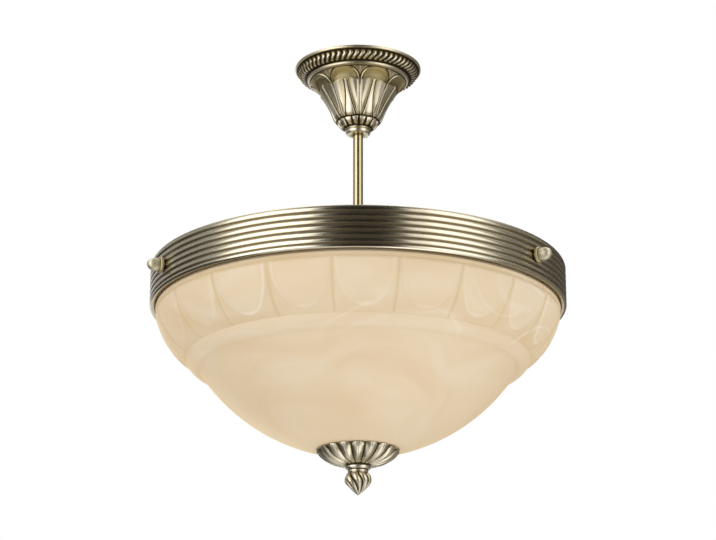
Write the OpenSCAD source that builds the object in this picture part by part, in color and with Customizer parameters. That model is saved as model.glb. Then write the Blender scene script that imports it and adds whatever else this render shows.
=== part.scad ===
// Semi-flush ceiling light: a fluted canopy on a ceiling bracket, a short tube,
// a reeded pan with three lampholders, and a pressed glass bowl held by three thumb screws.
// Millimetres. The origin is the ceiling, on the axis of the tube; +Z points into the ceiling.

/* [Ceiling bracket] */
// Length of the bracket strap, end to end
bracket_len = 108; // [102:1:112]
// Width of the bracket strap
bracket_w = 20; // [18:0.5:21]
// Thickness of the bracket steel
bracket_t = 2; // [1.5:0.1:2.4]
// Depth of the bracket's middle below the ceiling
bracket_drop = 24; // [22:0.5:25]
// Distance between the middles of the two ceiling slots
slot_spacing = 92; // [90:1:94]
// Length of a ceiling slot, end to end
slot_len = 11; // [9:0.5:12]
// Width of a ceiling slot
slot_w = 5.2; // [4.2:0.1:6.4]

/* [Terminal block] */
// Distance between two poles of the terminal block
pole_pitch = 8; // [7.6:0.1:8.2]
// Gap at each side of the terminal block
block_gap = 0.8; // [0.5:0.1:1.2]
// Length of the terminal block along its wires
block_len = 16; // [14:0.5:18]
// Height of the terminal block
block_h = 13; // [11:0.5:13.5]
// Diameter of a wire entry in the terminal block
entry_d = 2.9; // [2.5:0.1:3.2]

/* [Canopy] */
// Diameter of the canopy at the ceiling
canopy_d = 127; // [124:1:134]
// Height of the canopy's bell
canopy_h = 65.5; // [62:0.5:72]
// Thickness of the canopy's wall
canopy_wall = 1.5; // [1:0.1:2]
// Diameter of the rope moulding round the canopy's rim
rope_d = 9.6; // [8.4:0.2:10.4]
// Number of petals round the canopy
petals = 8; // [6:1:14]
// Direction of the first rib between two petals, seen from above
petal_az = 3; // [0:1:20]
// Height of the ribs between the petals
rib_h = 0.8; // [0.5:0.1:1.2]
// Number of gadroons round the canopy's foot
gadroons = 16; // [12:1:20]
// Diameter of the collar under the canopy
collar_d = 25; // [22:0.5:28]
// Height of the collar under the canopy
collar_h = 6; // [5:0.2:8]
// Diameter of the collar's set screw
set_screw_d = 3; // [2.4:0.1:3.4]
// How far the set screw stands out of the collar
set_screw_out = 2.2; // [1:0.1:3]
// Direction of the set screw, seen from above
set_screw_az = 55; // [0:5:90]

/* [Tube] */
// Outside diameter of the tube
rod_d = 10; // [9.4:0.1:10.6]
// Bore of the tube
rod_bore = 8; // [7.6:0.1:8.4]
// Distance from the ceiling to the pan's upper edge
drop_h = 216.6; // [190:1:400]
// Width across the flats of the tube's lock nuts
nut_af = 14; // [13:0.5:15]
// Height of the tube's lock nuts
nut_h = 4; // [3:0.5:5]
// Thickness of the toothed washers
washer_t = 0.8; // [0.6:0.1:1.2]

/* [Pan] */
// Diameter of the pan over its reeds
pan_d = 408; // [396:1:440]
// Thickness of the pan's sheet
pan_t = 1; // [0.8:0.1:1.6]
// Height of one reed of the band
reed_h = 6; // [5.4:0.1:6.6]
// Number of full reeds on the band
reeds = 6; // [5:1:8]
// Depth of the grooves between the reeds
reed_depth = 1.6; // [1:0.1:2]
// Height of the bead along the band's lower edge
bead_h = 4; // [3.4:0.1:5]
// How far the pan's crown stands above the band
crown_h = 14; // [10:1:20]
// Diameter of the pan's crown
crown_d = 68; // [60:1:80]
// Diameter of the nut on top of the pan
cap_nut_d = 24; // [20:1:30]
// Height of the nut on top of the pan
cap_nut_h = 8; // [6:0.5:12]

/* [Thumb screws] */
// Direction of the first thumb screw, seen from above
thumb_az = -155; // [-160:1:-150]
// Diameter of a thumb screw's thread
thumb_d = 5; // [4:0.5:6]
// Diameter of a thumb screw's knob at its foot
knob_foot_d = 16.4; // [14:0.2:18]
// Length of the knob's foot
knob_foot = 3.8; // [3:0.2:5]
// Diameter of the knob's nose
knob_d = 12; // [10:0.5:13.5]
// Length of the knob's nose
knob_len = 8.8; // [8:0.2:12]
// Diameter of a threaded boss inside the band
boss_d = 12; // [10:0.5:14]

/* [Glass bowl] */
// Depth of the bowl below the band
bowl_depth = 142.4; // [134:1:160]
// Height of the bowl's collar inside the band
bowl_collar_h = 30; // [27:0.5:32]
// Thickness of the glass
glass_t = 4; // [3:0.2:5]
// Gap between the pan's inner wall and the glass
bowl_gap = 5.4; // [5:0.1:6.5]
// Depth of the ridge's upper edge below the band
ridge_depth = 50; // [44:1:56]
// Distance of the ridge's upper edge inside the pan's outline
ridge_inset = 36; // [30:1:42]
// Width of the ridge, measured across
ridge_w = 12; // [10:0.5:14]
// How far the ridge's bead stands out of the glass
ridge_rise = 1.3; // [0.6:0.1:2]
// Diameter of the ground flat round the hole in the bowl
flat_d = 32; // [28:1:36]

/* [Finial] */
// Diameter of the finial's stud
stud_d = 8; // [6:0.5:8]
// Diameter of the leaf cup
cup_d = 81; // [76:1:90]
// Height of the leaf cup
cup_h = 15; // [14:0.5:18]
// Thickness of the leaf cup
cup_t = 1.4; // [1:0.1:2]
// Number of leaves round the cup
leaves = 18; // [12:1:24]
// Diameter of the ring under the cup
ring_d = 24.4; // [20:0.5:28]
// Height of the ring under the cup
ring_h = 4.4; // [3:0.2:6]
// Diameter of the bud
bud_d = 26; // [22:0.5:32]
// Length of the bud
bud_len = 25; // [22:0.5:34]
// Length of thread that the bud holds
bud_thread = 12; // [8:0.5:14]

/* [Lampholders] */
// Direction of the first lampholder, seen from above
lamp_az = -95; // [-100:1:-90]
// Depth of the lamps' axes below the star bracket
lamp_drop = 46; // [44:1:50]
// Thickness of the star bracket's steel
star_t = 2; // [1.5:0.1:2.5]
// Width of the star bracket's arms
star_w = 22; // [20:1:26]
// Distance from the tube's axis to a star bracket's tab
tab_x = 26; // [25:0.5:30]
// Diameter of a lampholder
holder_d = 39; // [36:0.5:40]
// Length of a lampholder
holder_len = 52; // [48:1:56]
// Diameter of a lampholder's nipple
nipple_d = 10; // [9:0.5:11]
// Diameter of a bulb's screw cap
bulb_cap_d = 26.4; // [26:0.1:26.8]
// Length of a bulb's screw cap
bulb_cap_len = 25; // [22:1:27]
// Diameter of a bulb
bulb_d = 60; // [50:1:62]
// Length of a bulb outside its cap
bulb_len = 81; // [76:1:84]

/* [Wiring] */
// Diameter of the flex inside the tube
flex_d = 5.8; // [5:0.1:6]
// Diameter of a single core
core_d = 1.8; // [1.4:0.1:2]
// Diameter of a lampholder's lead
lead_d = 3; // [2.4:0.1:3]

/* [Hidden] */
$fn = 64;
running = 0.05;      // radial clearance of threads and sliding fits
clear = 0.3;         // gap between faces of pieces that move apart
loose = 0.6;         // radial clearance of holes that only let a piece through
hole_clear = 0.15;   // radial clearance of screw holes

BRASS = [0.62, 0.56, 0.42];
STEEL = [0.72, 0.72, 0.70];
GLASS = [0.93, 0.85, 0.70];
CERAMIC = [0.92, 0.91, 0.88];
RUBBER = [0.15, 0.15, 0.15];
NYLON = [0.90, 0.88, 0.82];

rod_r = rod_d / 2;
canopy_r = canopy_d / 2;
pan_r = pan_d / 2;
groove_r = pan_r - reed_depth;
band_inner_r = groove_r - pan_t;
band_h = reeds * reed_h + bead_h;
band_top_z = -drop_h;
band_low_z = band_top_z - band_h;
crown_z = band_top_z + crown_h;
lip_r = band_inner_r - 3;
lip_t = 1.4;
crown_r = crown_d / 2;
plate_r = band_inner_r - 3;

// Stack on the bracket: washer and nut above the web, nut below it
web_top_z = -bracket_drop + bracket_t;
washer_r = nut_af * 0.6;
upper_nut_z = web_top_z + washer_t;
rod_end_out = 3;
rod_top_z = upper_nut_z + nut_h + rod_end_out;
block_w = 3 * pole_pitch;
block_x = washer_r + block_gap + block_w / 2;
web_len = 2 * (block_x + block_w / 2 + block_gap + bracket_t);
block_screw_r = 1.5;
block_screw_x = block_x + pole_pitch / 2;
POLE_X = [for (pole = [-1, 0, 1]) block_x + pole * pole_pitch];
entry_r = entry_d / 2;
entry_z = web_top_z + block_h * 0.42;
entry_len = 7;
clamp_r = 1.5;
clamp_y = block_len / 2 - 3.5;
earth_x = -web_len / 2 + 10;
earth_r = 2;

// Stack under the pan's crown: star bracket, washer, nut
star_z = crown_z - pan_t;
pan_washer_z = star_z - star_t;
pan_nut_z = pan_washer_z - washer_t;
rod_low_z = pan_nut_z - nut_h - rod_end_out;
bush_t = 2;
bush_sleeve = 6;
bush_wall = 0.6;
bush_r = rod_r + 1;

// Collar under the canopy
canopy_foot_z = -canopy_h;
collar_z = canopy_foot_z - collar_h;
collar_r = collar_d / 2;
set_screw_r = set_screw_d / 2;
set_screw_z = canopy_foot_z - collar_h / 2;

// Places on the canopy's outline: lip, rope moulding, bead, bell and foot
lip_h = 2.6;
rope_c = [canopy_r - 8.6, -lip_h - 2.4];
bead_c = [canopy_r - 13.3, -12.4];
bead_r = 2;
bell_top = [canopy_r - 15.1, -15.8];
bell_low = [25.2, canopy_foot_z + 13];
foot_r = collar_r + 0.9;
gadroon_r = 2.9;
gadroon_c = bell_low + [-7.8, -8];
rib_angle = 2.6;

// Band screws
thumb_z = band_top_z - band_h / 2;
thumb_r = thumb_d / 2;
bowl_r = band_inner_r - bowl_gap;
tip_x = bowl_r + clear;
tip_len = 2.8;
tip_r = thumb_r - 0.2;
boss_t = 3.4;
knob_x = pan_r + clear + loose;
knob_hole_x = knob_x + knob_foot + 4;
THUMB_AZ = [thumb_az, thumb_az + 120, thumb_az + 240];

// Bowl
bowl_low_z = band_low_z - bowl_depth;
ridge_r = pan_r - ridge_inset;
ridge_low_r = ridge_r - ridge_w;
ridge_low_depth = ridge_depth + ridge_w * 0.88;
ridge_top = [ridge_r, band_low_z - ridge_depth];
ridge_low = [ridge_low_r, band_low_z - ridge_low_depth];
groove = 1.6;
dome_r = ridge_low_r - groove * 1.5;
dome_depth = ridge_low_depth + groove;
flat_r = flat_d / 2;
dome_h = bowl_depth - dome_depth;
dome_sphere = (pow(dome_r, 2) - pow(flat_r, 2) + pow(dome_h, 2)) / (2 * dome_h);
dome_ball_r = sqrt(pow(dome_sphere, 2) + pow(flat_r, 2));
dome_ball_z = bowl_low_z + dome_sphere;

// Finial stack on the bowl
stud_r = stud_d / 2;
stud_hole_r = stud_r + 1.5;
pad_t = 1.5;
pad_r = flat_r - 2;
stud_nut_af = stud_d * 1.625;
stud_nut_h = 5;
thin_nut_h = 4;
inner_washer_z = bowl_low_z + glass_t + pad_t;
inner_nut_z = inner_washer_z + pad_t;
stud_top_z = inner_nut_z + stud_nut_h + 2;
outer_nut_z = bowl_low_z - pad_t - thin_nut_h;
cup_r = cup_d / 2;
cup_rim_r = cup_r - cup_t;
cup_top_z = dome_ball_z - sqrt(pow(dome_ball_r, 2) - pow(cup_rim_r, 2)) - clear;
cup_low_z = cup_top_z - cup_h;
notch_r = 1.1;
ring_low_z = cup_low_z - ring_h;
bud_tip_z = ring_low_z - bud_len;
stud_low_z = ring_low_z - bud_thread;

// Lamps, along each lampholder's own axis from the middle of the light
lamp_z = star_z - star_t - lamp_drop;
holder_r = holder_d / 2;
holder_x = tab_x;
mouth_x = holder_x + holder_len;
bulb_cap_r = bulb_cap_d / 2;
shell_in_r = bulb_cap_r + 2 * running;
shell_t = 0.5;
cavity_r = shell_in_r + shell_t + 0.1;
contact_len = 3;
contact_x = mouth_x - bulb_cap_len - contact_len;
nipple_r = nipple_d / 2;
nipple_wall = 1.4;
nipple_in = 7;
holder_base_t = 6;
nipple_nut_t = 3.5;
LAMP_AZ = [lamp_az, lamp_az + 120, lamp_az + 240];

flex_r = flex_d / 2;
core_r = core_d / 2;
lead_r = lead_d / 2;
flex_top_z = rod_top_z + bush_t + 1;
flex_low_z = rod_low_z - bush_t - 4;

// Points along a cubic curve
function curve(a, b, c, d, n) = [for (i = [0 : n]) let (t = i / n, s = 1 - t)
    s * s * s * a + 3 * s * s * t * b + 3 * s * t * t * c + t * t * t * d];

// Points along an arc, from one angle to another
function arc(c, r, a0, a1, n) = [for (i = [0 : n]) let (a = a0 + (a1 - a0) * i / n) c + r * [cos(a), sin(a)]];

function reversed(p) = [for (i = [len(p) - 1 : -1 : 0]) p[i]];
function moved(p, by) = [for (q = p) q + by];

// A tube swept along a route, with a ring of points square to the route at each of its points
function unit(v) = v / norm(v);
function way(p, i) = unit(p[min(i + 1, len(p) - 1)] - p[max(i - 1, 0)]);
function side_of(t) = unit(cross(t, abs(t.y) < 0.9 ? [0, 1, 0] : [1, 0, 0]));
function ring_at(p, i, r, n) = let (t = way(p, i), u = side_of(t), v = cross(t, u))
    [for (k = [0 : n - 1]) p[i] + r * (cos(360 * k / n) * u + sin(360 * k / n) * v)];

module sweep(route, r, n = 8) {
    rings = len(route);
    points = [for (i = [0 : rings - 1]) each ring_at(route, i, r, n)];
    first = [[for (k = [0 : n - 1]) n - 1 - k]];
    last = [[for (k = [0 : n - 1]) (rings - 1) * n + k]];
    walls = [for (i = [0 : rings - 2], k = [0 : n - 1]) each [
        [i * n + k, i * n + (k + 1) % n, (i + 1) * n + (k + 1) % n],
        [i * n + k, (i + 1) * n + (k + 1) % n, (i + 1) * n + k]]];
    polyhedron(points = points, faces = concat(first, walls, last), convexity = 6);
}

module radial(az) { rotate([0, 0, az]) children(); }

// A rod along +X from x0 to x1
module rod_x(x0, x1, r, z = 0) { translate([x0, 0, z]) rotate([0, 90, 0]) cylinder(h = x1 - x0, r = r); }

// A rod along +Y from y0 to y1
module rod_y(y0, y1, r, z = 0) { translate([0, y0, z]) rotate([-90, 0, 0]) cylinder(h = y1 - y0, r = r); }

// A turned shape whose axis is +X; the profile's points are [radius, place along the axis]
module turned_x(profile, z = 0) {
    translate([0, 0, z]) rotate([0, 90, 0]) rotate_extrude() polygon(profile);
}

module hex_nut(z, af, h, bore_r) {
    translate([0, 0, z]) difference() {
        cylinder(h = h, r = af / 2 / cos(30), $fn = 6);
        translate([0, 0, -1]) cylinder(h = h + 2, r = bore_r);
    }
}

module washer(z, r_out, r_in, t) {
    translate([0, 0, z]) difference() {
        cylinder(h = t, r = r_out);
        translate([0, 0, -1]) cylinder(h = t + 2, r = r_in);
    }
}

module slot_cut(x) {
    half = (slot_len - slot_w) / 2;
    translate([x, 0, -bracket_t - 1]) {
        translate([-half, 0, 0]) cylinder(h = bracket_t + 2, r = slot_w / 2);
        translate([half, 0, 0]) cylinder(h = bracket_t + 2, r = slot_w / 2);
        translate([-half, -slot_w / 2, 0]) cube([2 * half, slot_w, bracket_t + 2]);
    }
}

module ceiling_bracket() {
    color(STEEL) difference() {
        union() {
            translate([-web_len / 2, -bracket_w / 2, -bracket_drop]) cube([web_len, bracket_w, bracket_t]);
            for (side = [0, 1]) mirror([side, 0, 0]) {
                translate([web_len / 2 - bracket_t, -bracket_w / 2, -bracket_drop])
                    cube([bracket_t, bracket_w, bracket_drop]);
                translate([web_len / 2 - bracket_t, -bracket_w / 2, -bracket_t])
                    cube([bracket_len / 2 - web_len / 2 + bracket_t, bracket_w, bracket_t]);
            }
        }
        translate([0, 0, -bracket_drop - 1]) cylinder(h = bracket_t + 2, r = rod_r + hole_clear);
        translate([earth_x, 0, -bracket_drop - 1]) cylinder(h = bracket_t + 2, r = earth_r + hole_clear);
        translate([block_screw_x, 0, -bracket_drop - 1])
            cylinder(h = bracket_t + 2, r = block_screw_r + hole_clear);
        slot_cut(slot_spacing / 2);
        slot_cut(-slot_spacing / 2);
    }
}

module earth_screw() {
    color(STEEL) difference() {
        translate([earth_x, 0, 0]) union() {
            translate([0, 0, -bracket_drop - 4]) cylinder(h = bracket_t + 4, r = earth_r);
            translate([0, 0, web_top_z]) cylinder(h = 0.8, r = 4.5);
            translate([0, 0, web_top_z + 0.8]) cylinder(h = 2.4, r = 3.6);
        }
        translate([earth_x - 4, -0.5, web_top_z + 2.2]) cube([8, 1, 2]);
    }
}

// The block stands across the strap: the supply enters at +Y, the light's own cores at -Y
module terminal_block() {
    half = block_len / 2;
    clamp_z = web_top_z + block_h - 4;
    color(NYLON) difference() {
        translate([block_x - block_w / 2, -half, web_top_z]) cube([block_w, block_len, block_h]);
        for (x = POLE_X, side = [0, 1]) translate([x, 0, 0]) mirror([0, side, 0]) {
            rod_y(half - entry_len, half + 1, entry_r, entry_z);
            translate([0, clamp_y, clamp_z]) cylinder(h = 5, r = clamp_r + clear);
        }
        translate([block_screw_x, 0, web_top_z - 1])
            cylinder(h = block_h + 2, r = block_screw_r + hole_clear);
    }
}

module terminal_clamp_screws() {
    color(BRASS) for (x = POLE_X, y = [-clamp_y, clamp_y])
        translate([x, y, web_top_z + block_h - 4]) difference() {
            cylinder(h = 3, r = clamp_r);
            translate([-2, -0.3, 2]) cube([4, 0.6, 2]);
        }
}

module terminal_block_screw() {
    head_z = web_top_z + block_h;
    color(STEEL) translate([block_screw_x, 0, 0]) difference() {
        union() {
            translate([0, 0, -bracket_drop - 2]) cylinder(h = block_h + bracket_t + 2, r = block_screw_r);
            translate([0, 0, head_z]) cylinder(h = 1.6, r = block_screw_r * 1.8);
        }
        translate([-3, -0.3, head_z + 0.8]) cube([6, 0.6, 1]);
    }
}

module tube_washer_upper() { color(STEEL) washer(web_top_z, washer_r, rod_r + hole_clear, washer_t); }
module tube_nut_upper() { color(STEEL) hex_nut(upper_nut_z, nut_af, nut_h, rod_r + running); }
module tube_nut_lower() { color(STEEL) hex_nut(-bracket_drop - nut_h, nut_af, nut_h, rod_r + running); }

module tube() { color(BRASS) washer(rod_low_z, rod_r, rod_bore / 2, rod_top_z - rod_low_z); }

// A bush for a tube's end: a flange on the end and a sleeve in the bore
module bush(up) {
    sleeve_r = rod_bore / 2 - running;
    reach = bush_t + bush_sleeve;
    color(NYLON) difference() {
        union() {
            translate([0, 0, up ? 0 : -bush_t]) cylinder(h = bush_t, r = bush_r);
            translate([0, 0, up ? -bush_sleeve : -bush_t]) cylinder(h = reach, r = sleeve_r);
        }
        translate([0, 0, -reach - 1]) cylinder(h = 2 * reach + 2, r = sleeve_r - bush_wall);
    }
}

module tube_bush_upper() { translate([0, 0, rod_top_z]) bush(true); }
module tube_bush_lower() { translate([0, 0, rod_low_z]) bush(false); }

// Outline of the bell, from the lip at the ceiling to its foot
function bell() = curve(bell_top, bell_top + [-10.6, -10.2], bell_low + [5.3, 14.5], bell_low, 10);
function canopy_foot() = concat(
    curve(bell_low, bell_low + [-0.8, -2.6], bell_low + [-2.6, -4.8], bell_low + [-4.4, -5.6], 3),
    curve(bell_low + [-4.8, -6.2], bell_low + [-5.2, -9.2], [foot_r + 2.6, canopy_foot_z + 0.6],
        [foot_r, canopy_foot_z], 5));
function canopy_outer() = concat(
    [[canopy_r, 0], [canopy_r, -lip_h + 0.6], [canopy_r - 0.6, -lip_h], [canopy_r - 1.6, -lip_h - 1]],
    arc(rope_c, rope_d / 2, -4, -86, 8),
    arc(bead_c, bead_r, 25, -115, 6),
    bell(), canopy_foot());
function canopy_inner() = concat(
    [[rod_r + loose, canopy_foot_z + canopy_wall], [foot_r, canopy_foot_z + canopy_wall]],
    reversed(moved(canopy_foot(), [-canopy_wall, canopy_wall * 0.7])),
    reversed(moved(bell(), [-canopy_wall, canopy_wall * 0.5])),
    [[rope_c.x - 1.6, rope_c.y - 3.2], [canopy_r - 3.7, -2.8], [canopy_r - canopy_wall, 0]]);

module canopy_rib() {
    outer = [for (p = bell()) if (p.y < bell_top.y - 3) p];
    rib = concat(moved(outer, [rib_h * 0.8, -rib_h * 0.5]), reversed(moved(outer, [-canopy_wall * 0.5, 0])));
    rotate([0, 0, -rib_angle / 2]) rotate_extrude(angle = rib_angle) polygon(rib);
}

module canopy() {
    color(BRASS) difference() {
        union() {
            rotate_extrude()
                polygon(concat(canopy_outer(), [[rod_r + loose, canopy_foot_z], [rod_r + loose, 0]]));
            for (i = [0 : petals - 1]) radial(petal_az + 360 * i / petals) canopy_rib();
            for (i = [0 : gadroons - 1]) radial(petal_az + 360 * (i + 0.5) / gadroons)
                translate([gadroon_c.x, 0, gadroon_c.y]) sphere(r = gadroon_r);
        }
        rotate_extrude() polygon(concat(canopy_inner(), [[canopy_r - canopy_wall, 1], [rod_r + loose, 1]]));
        translate([0, 0, canopy_foot_z - 1]) cylinder(h = canopy_wall + 3, r = rod_r + loose);
    }
}

module canopy_collar() {
    edge = 2.6;
    color(BRASS) difference() {
        rotate_extrude() polygon(concat(
            [[rod_r + running, canopy_foot_z], [collar_r + 0.4, canopy_foot_z],
             [collar_r + 0.4, canopy_foot_z - 1], [collar_r, canopy_foot_z - 1.4]],
            arc([collar_r - edge, collar_z + edge], edge, 0, -90, 5),
            [[rod_r + running, collar_z]]));
        radial(set_screw_az) rod_x(0, collar_r + 2, set_screw_r + running, set_screw_z);
    }
}

module collar_set_screw() {
    end_x = collar_r + set_screw_out;
    color(STEEL) radial(set_screw_az) difference() {
        rod_x(rod_r + hole_clear, end_x, set_screw_r, set_screw_z);
        translate([end_x - 1, -0.3, set_screw_z - set_screw_r - 1]) cube([2, 0.6, 2 * set_screw_r + 2]);
    }
}

// One reed of the band, bulging out between two grooves
function reed(z, h, n) = [for (i = [0 : n])
    [groove_r + reed_depth * pow(sin(180 * i / n), 0.7), z - h * i / n]];
function pan_top() = concat(
    [[rod_r + hole_clear, crown_z], [crown_r, crown_z]],
    curve([crown_r + 4, crown_z - 4], [crown_r + 50, crown_z - 4.2], [plate_r - 50, band_top_z + 5],
        [plate_r, band_top_z + 0.6], 10));
function pan_band() = concat(
    [for (i = [0 : reeds - 1]) each reed(band_top_z - reed_h * i, reed_h, 6)],
    reed(band_top_z - reed_h * reeds, bead_h, 5));

module pan() {
    under = reversed(moved(pan_top(), [0, -pan_t]));
    color(BRASS) difference() {
        rotate_extrude() polygon(concat(pan_top(), pan_band(),
            [[lip_r, band_low_z], [lip_r, band_low_z + lip_t], [band_inner_r, band_low_z + lip_t],
             [band_inner_r, band_top_z - 2 * pan_t]], under));
        for (az = THUMB_AZ) radial(az) rod_x(band_inner_r - 5, pan_r + 5, thumb_r + clear, thumb_z);
    }
}

module pan_cap_nut() {
    r = cap_nut_d / 2;
    h = cap_nut_h;
    color(BRASS) translate([0, 0, crown_z]) rotate_extrude() polygon([
        [rod_r + running, 0], [r, 0], [r, h * 0.5], [r - 1, h * 0.62], [r - 3, h * 0.72],
        [r - 4.5, h], [rod_r + running, h]]);
}

module star_bracket() {
    hub_r = star_w / 2 + 4;
    color(STEEL) difference() {
        union() {
            translate([0, 0, star_z - star_t]) cylinder(h = star_t, r = hub_r);
            for (az = LAMP_AZ) radial(az) {
                translate([0, -star_w / 2, star_z - star_t]) cube([tab_x, star_w, star_t]);
                translate([tab_x - star_t, -star_w / 2, lamp_z]) cube([star_t, star_w, star_z - lamp_z]);
                rod_x(tab_x - star_t, tab_x, star_w / 2, lamp_z);
            }
        }
        translate([0, 0, star_z - star_t - 1]) cylinder(h = star_t + 2, r = rod_r + hole_clear);
        for (az = LAMP_AZ) radial(az) rod_x(tab_x - star_t - 1, tab_x + 1, nipple_r + hole_clear, lamp_z);
    }
}

module pan_washer() { color(STEEL) washer(pan_nut_z, washer_r, rod_r + hole_clear, washer_t); }
module pan_nut() { color(STEEL) hex_nut(pan_nut_z - nut_h, nut_af, nut_h, rod_r + running); }

module thumb_bosses() {
    color(STEEL) for (az = THUMB_AZ) radial(az) difference() {
        intersection() {
            rod_x(band_inner_r - boss_t, band_inner_r + 3, boss_d / 2, thumb_z);
            translate([0, 0, thumb_z - boss_d]) cylinder(h = 2 * boss_d, r = band_inner_r, $fn = 360);
        }
        rod_x(band_inner_r - boss_t - 1, band_inner_r + 4, thumb_r + running, thumb_z);
    }
}

// A lampholder: a closed base with the nipple's hole, and a deep socket
module lampholder(az) {
    neck_r = holder_r - 6;
    body_r = holder_r - 1.5;
    base_x = holder_x + holder_base_t;
    color(CERAMIC) radial(az) turned_x([
        [nipple_r + running, holder_x], [neck_r, holder_x], [neck_r, holder_x + 8], [body_r, holder_x + 14],
        [body_r, mouth_x - 10], [holder_r, mouth_x - 9], [holder_r, mouth_x - 1], [holder_r - 1, mouth_x],
        [cavity_r, mouth_x], [cavity_r, base_x], [nipple_r + running, base_x]], lamp_z);
}

module lampholder_front() { lampholder(LAMP_AZ[0]); }
module lampholder_right() { lampholder(LAMP_AZ[1]); }
module lampholder_left() { lampholder(LAMP_AZ[2]); }

module lampholder_shells() {
    low = contact_x + contact_len - 1;
    color(BRASS) for (az = LAMP_AZ) radial(az) turned_x([
        [shell_in_r, low], [shell_in_r + shell_t, low], [shell_in_r + shell_t, mouth_x - 2],
        [shell_in_r, mouth_x - 2]], lamp_z);
}

// A springy strip from the holder's base to the bulb's contact
module lampholder_contacts() {
    strip_t = 0.6;
    strip_w = 6;
    base_x = holder_x + holder_base_t;
    end_x = contact_x - clear;
    color(BRASS) for (az = LAMP_AZ) radial(az) translate([0, -strip_w / 2, lamp_z]) {
        translate([base_x, 0, -12]) cube([strip_t, strip_w, 6]);
        translate([base_x, 0, -7]) cube([end_x - base_x, strip_w, strip_t]);
        translate([end_x - strip_t, 0, -7]) cube([strip_t, strip_w, 9]);
    }
}

module lampholder_nipples() {
    start_x = tab_x - star_t - nipple_nut_t - 1.5;
    end_x = holder_x + holder_base_t;
    color(STEEL) for (az = LAMP_AZ) radial(az) difference() {
        rod_x(start_x, end_x, nipple_r, lamp_z);
        rod_x(start_x - 1, end_x + 1, nipple_r - nipple_wall, lamp_z);
    }
}

module lampholder_nuts() {
    color(STEEL) for (az = LAMP_AZ) radial(az)
        translate([tab_x - star_t - nipple_nut_t, 0, lamp_z]) rotate([0, 90, 0])
            hex_nut(0, nut_af, nipple_nut_t, nipple_r + running);
}

// The small pip at the end of a bulb's cap
module bulb_contact(az) {
    color(STEEL) radial(az) turned_x([[0, contact_x], [3, contact_x], [4.2, contact_x + 1],
        [4.2, contact_x + contact_len], [0, contact_x + contact_len]], lamp_z);
}

module bulb_cap(az) {
    x0 = contact_x + contact_len;
    color(STEEL) radial(az) turned_x([[0, x0], [8, x0], [bulb_cap_r - 1, x0 + 3.5], [bulb_cap_r, x0 + 5],
        [bulb_cap_r, mouth_x], [bulb_cap_r - 1, mouth_x], [bulb_cap_r - 1, x0 + 6], [0, x0 + 4]], lamp_z);
}

module bulb_glass(az) {
    r = bulb_d / 2;
    skin = 0.8;
    end_x = mouth_x + bulb_len;
    neck = [bulb_cap_r - 0.2, mouth_x];
    color([0.95, 0.95, 0.93]) radial(az) turned_x(concat([[0, mouth_x]],
        curve(neck, [bulb_cap_r, mouth_x + 20], [r, end_x - r - 26], [r, end_x - r], 8),
        arc([0, end_x - r], r, 0, 90, 8), [[0, end_x - skin]],
        reversed(arc([0, end_x - r], r - skin, 0, 90, 8)),
        reversed(curve(neck + [-skin, skin], [bulb_cap_r - skin, mouth_x + 20], [r - skin, end_x - r - 26],
            [r - skin, end_x - r], 8)),
        [[0, mouth_x + skin]]), lamp_z);
}

module bulb_contact_front() { bulb_contact(LAMP_AZ[0]); }
module bulb_contact_right() { bulb_contact(LAMP_AZ[1]); }
module bulb_contact_left() { bulb_contact(LAMP_AZ[2]); }
module bulb_cap_front() { bulb_cap(LAMP_AZ[0]); }
module bulb_cap_right() { bulb_cap(LAMP_AZ[1]); }
module bulb_cap_left() { bulb_cap(LAMP_AZ[2]); }
module bulb_glass_front() { bulb_glass(LAMP_AZ[0]); }
module bulb_glass_right() { bulb_glass(LAMP_AZ[1]); }
module bulb_glass_left() { bulb_glass(LAMP_AZ[2]); }

module flex_in_tube() {
    color(RUBBER) translate([0, 0, flex_low_z]) cylinder(h = flex_top_z - flex_low_z, r = flex_r);
}

// Three cores rise out of the flex, swing out past the strap and turn back into the terminal block
module terminal_cores() {
    rise_z = flex_top_z + 4.5;
    turn_y = -block_len / 2 - 10;
    half_z = (rise_z + entry_z) / 2;
    for (pole = [-1, 0, 1]) {
        start = pole * (core_d + 0.1) * unit([1, 1]);
        x = POLE_X[pole + 1];
        route = concat(
            [[start.x, start.y, flex_top_z]],
            curve([start.x, start.y, flex_top_z + 1], [start.x, start.y, rise_z + 1],
                [x * 0.5, turn_y * 0.55, rise_z + 2.5], [x * 0.88, turn_y * 0.92, half_z + 1.2], 8),
            curve([x * 0.95, turn_y * 0.98, half_z - 0.6], [x, turn_y, half_z - 2.4],
                [x, turn_y + 1, entry_z], [x, turn_y + 4.5, entry_z], 5),
            [[x, entry_len - block_len / 2 - 1, entry_z]]);
        color(pole == 0 ? [0.2, 0.35, 0.7] : pole < 0 ? [0.45, 0.25, 0.12] : [0.4, 0.6, 0.2])
            sweep(route, core_r);
    }
}

// One lead from the flex to each lampholder, through its nipple
module lampholder_leads() {
    offset_r = lead_r * 1.27;
    color(NYLON) for (az = LAMP_AZ) radial(az)
        sweep(concat([[offset_r, 0, flex_low_z]],
            curve([offset_r, 0, flex_low_z - 3], [offset_r, 0, lamp_z + 6], [offset_r + 3, 0, lamp_z],
                [tab_x - star_t - nipple_nut_t - 4, 0, lamp_z], 8),
            [[tab_x, 0, lamp_z], [holder_x + holder_base_t - 1, 0, lamp_z]]), lead_r);
}

module thumb_tip(az) { color(NYLON) radial(az) rod_x(tip_x, tip_x + tip_len, tip_r, thumb_z); }

module thumb_screw(az) {
    color(STEEL) radial(az) rod_x(tip_x + tip_len + running, knob_hole_x, thumb_r, thumb_z);
}

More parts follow.
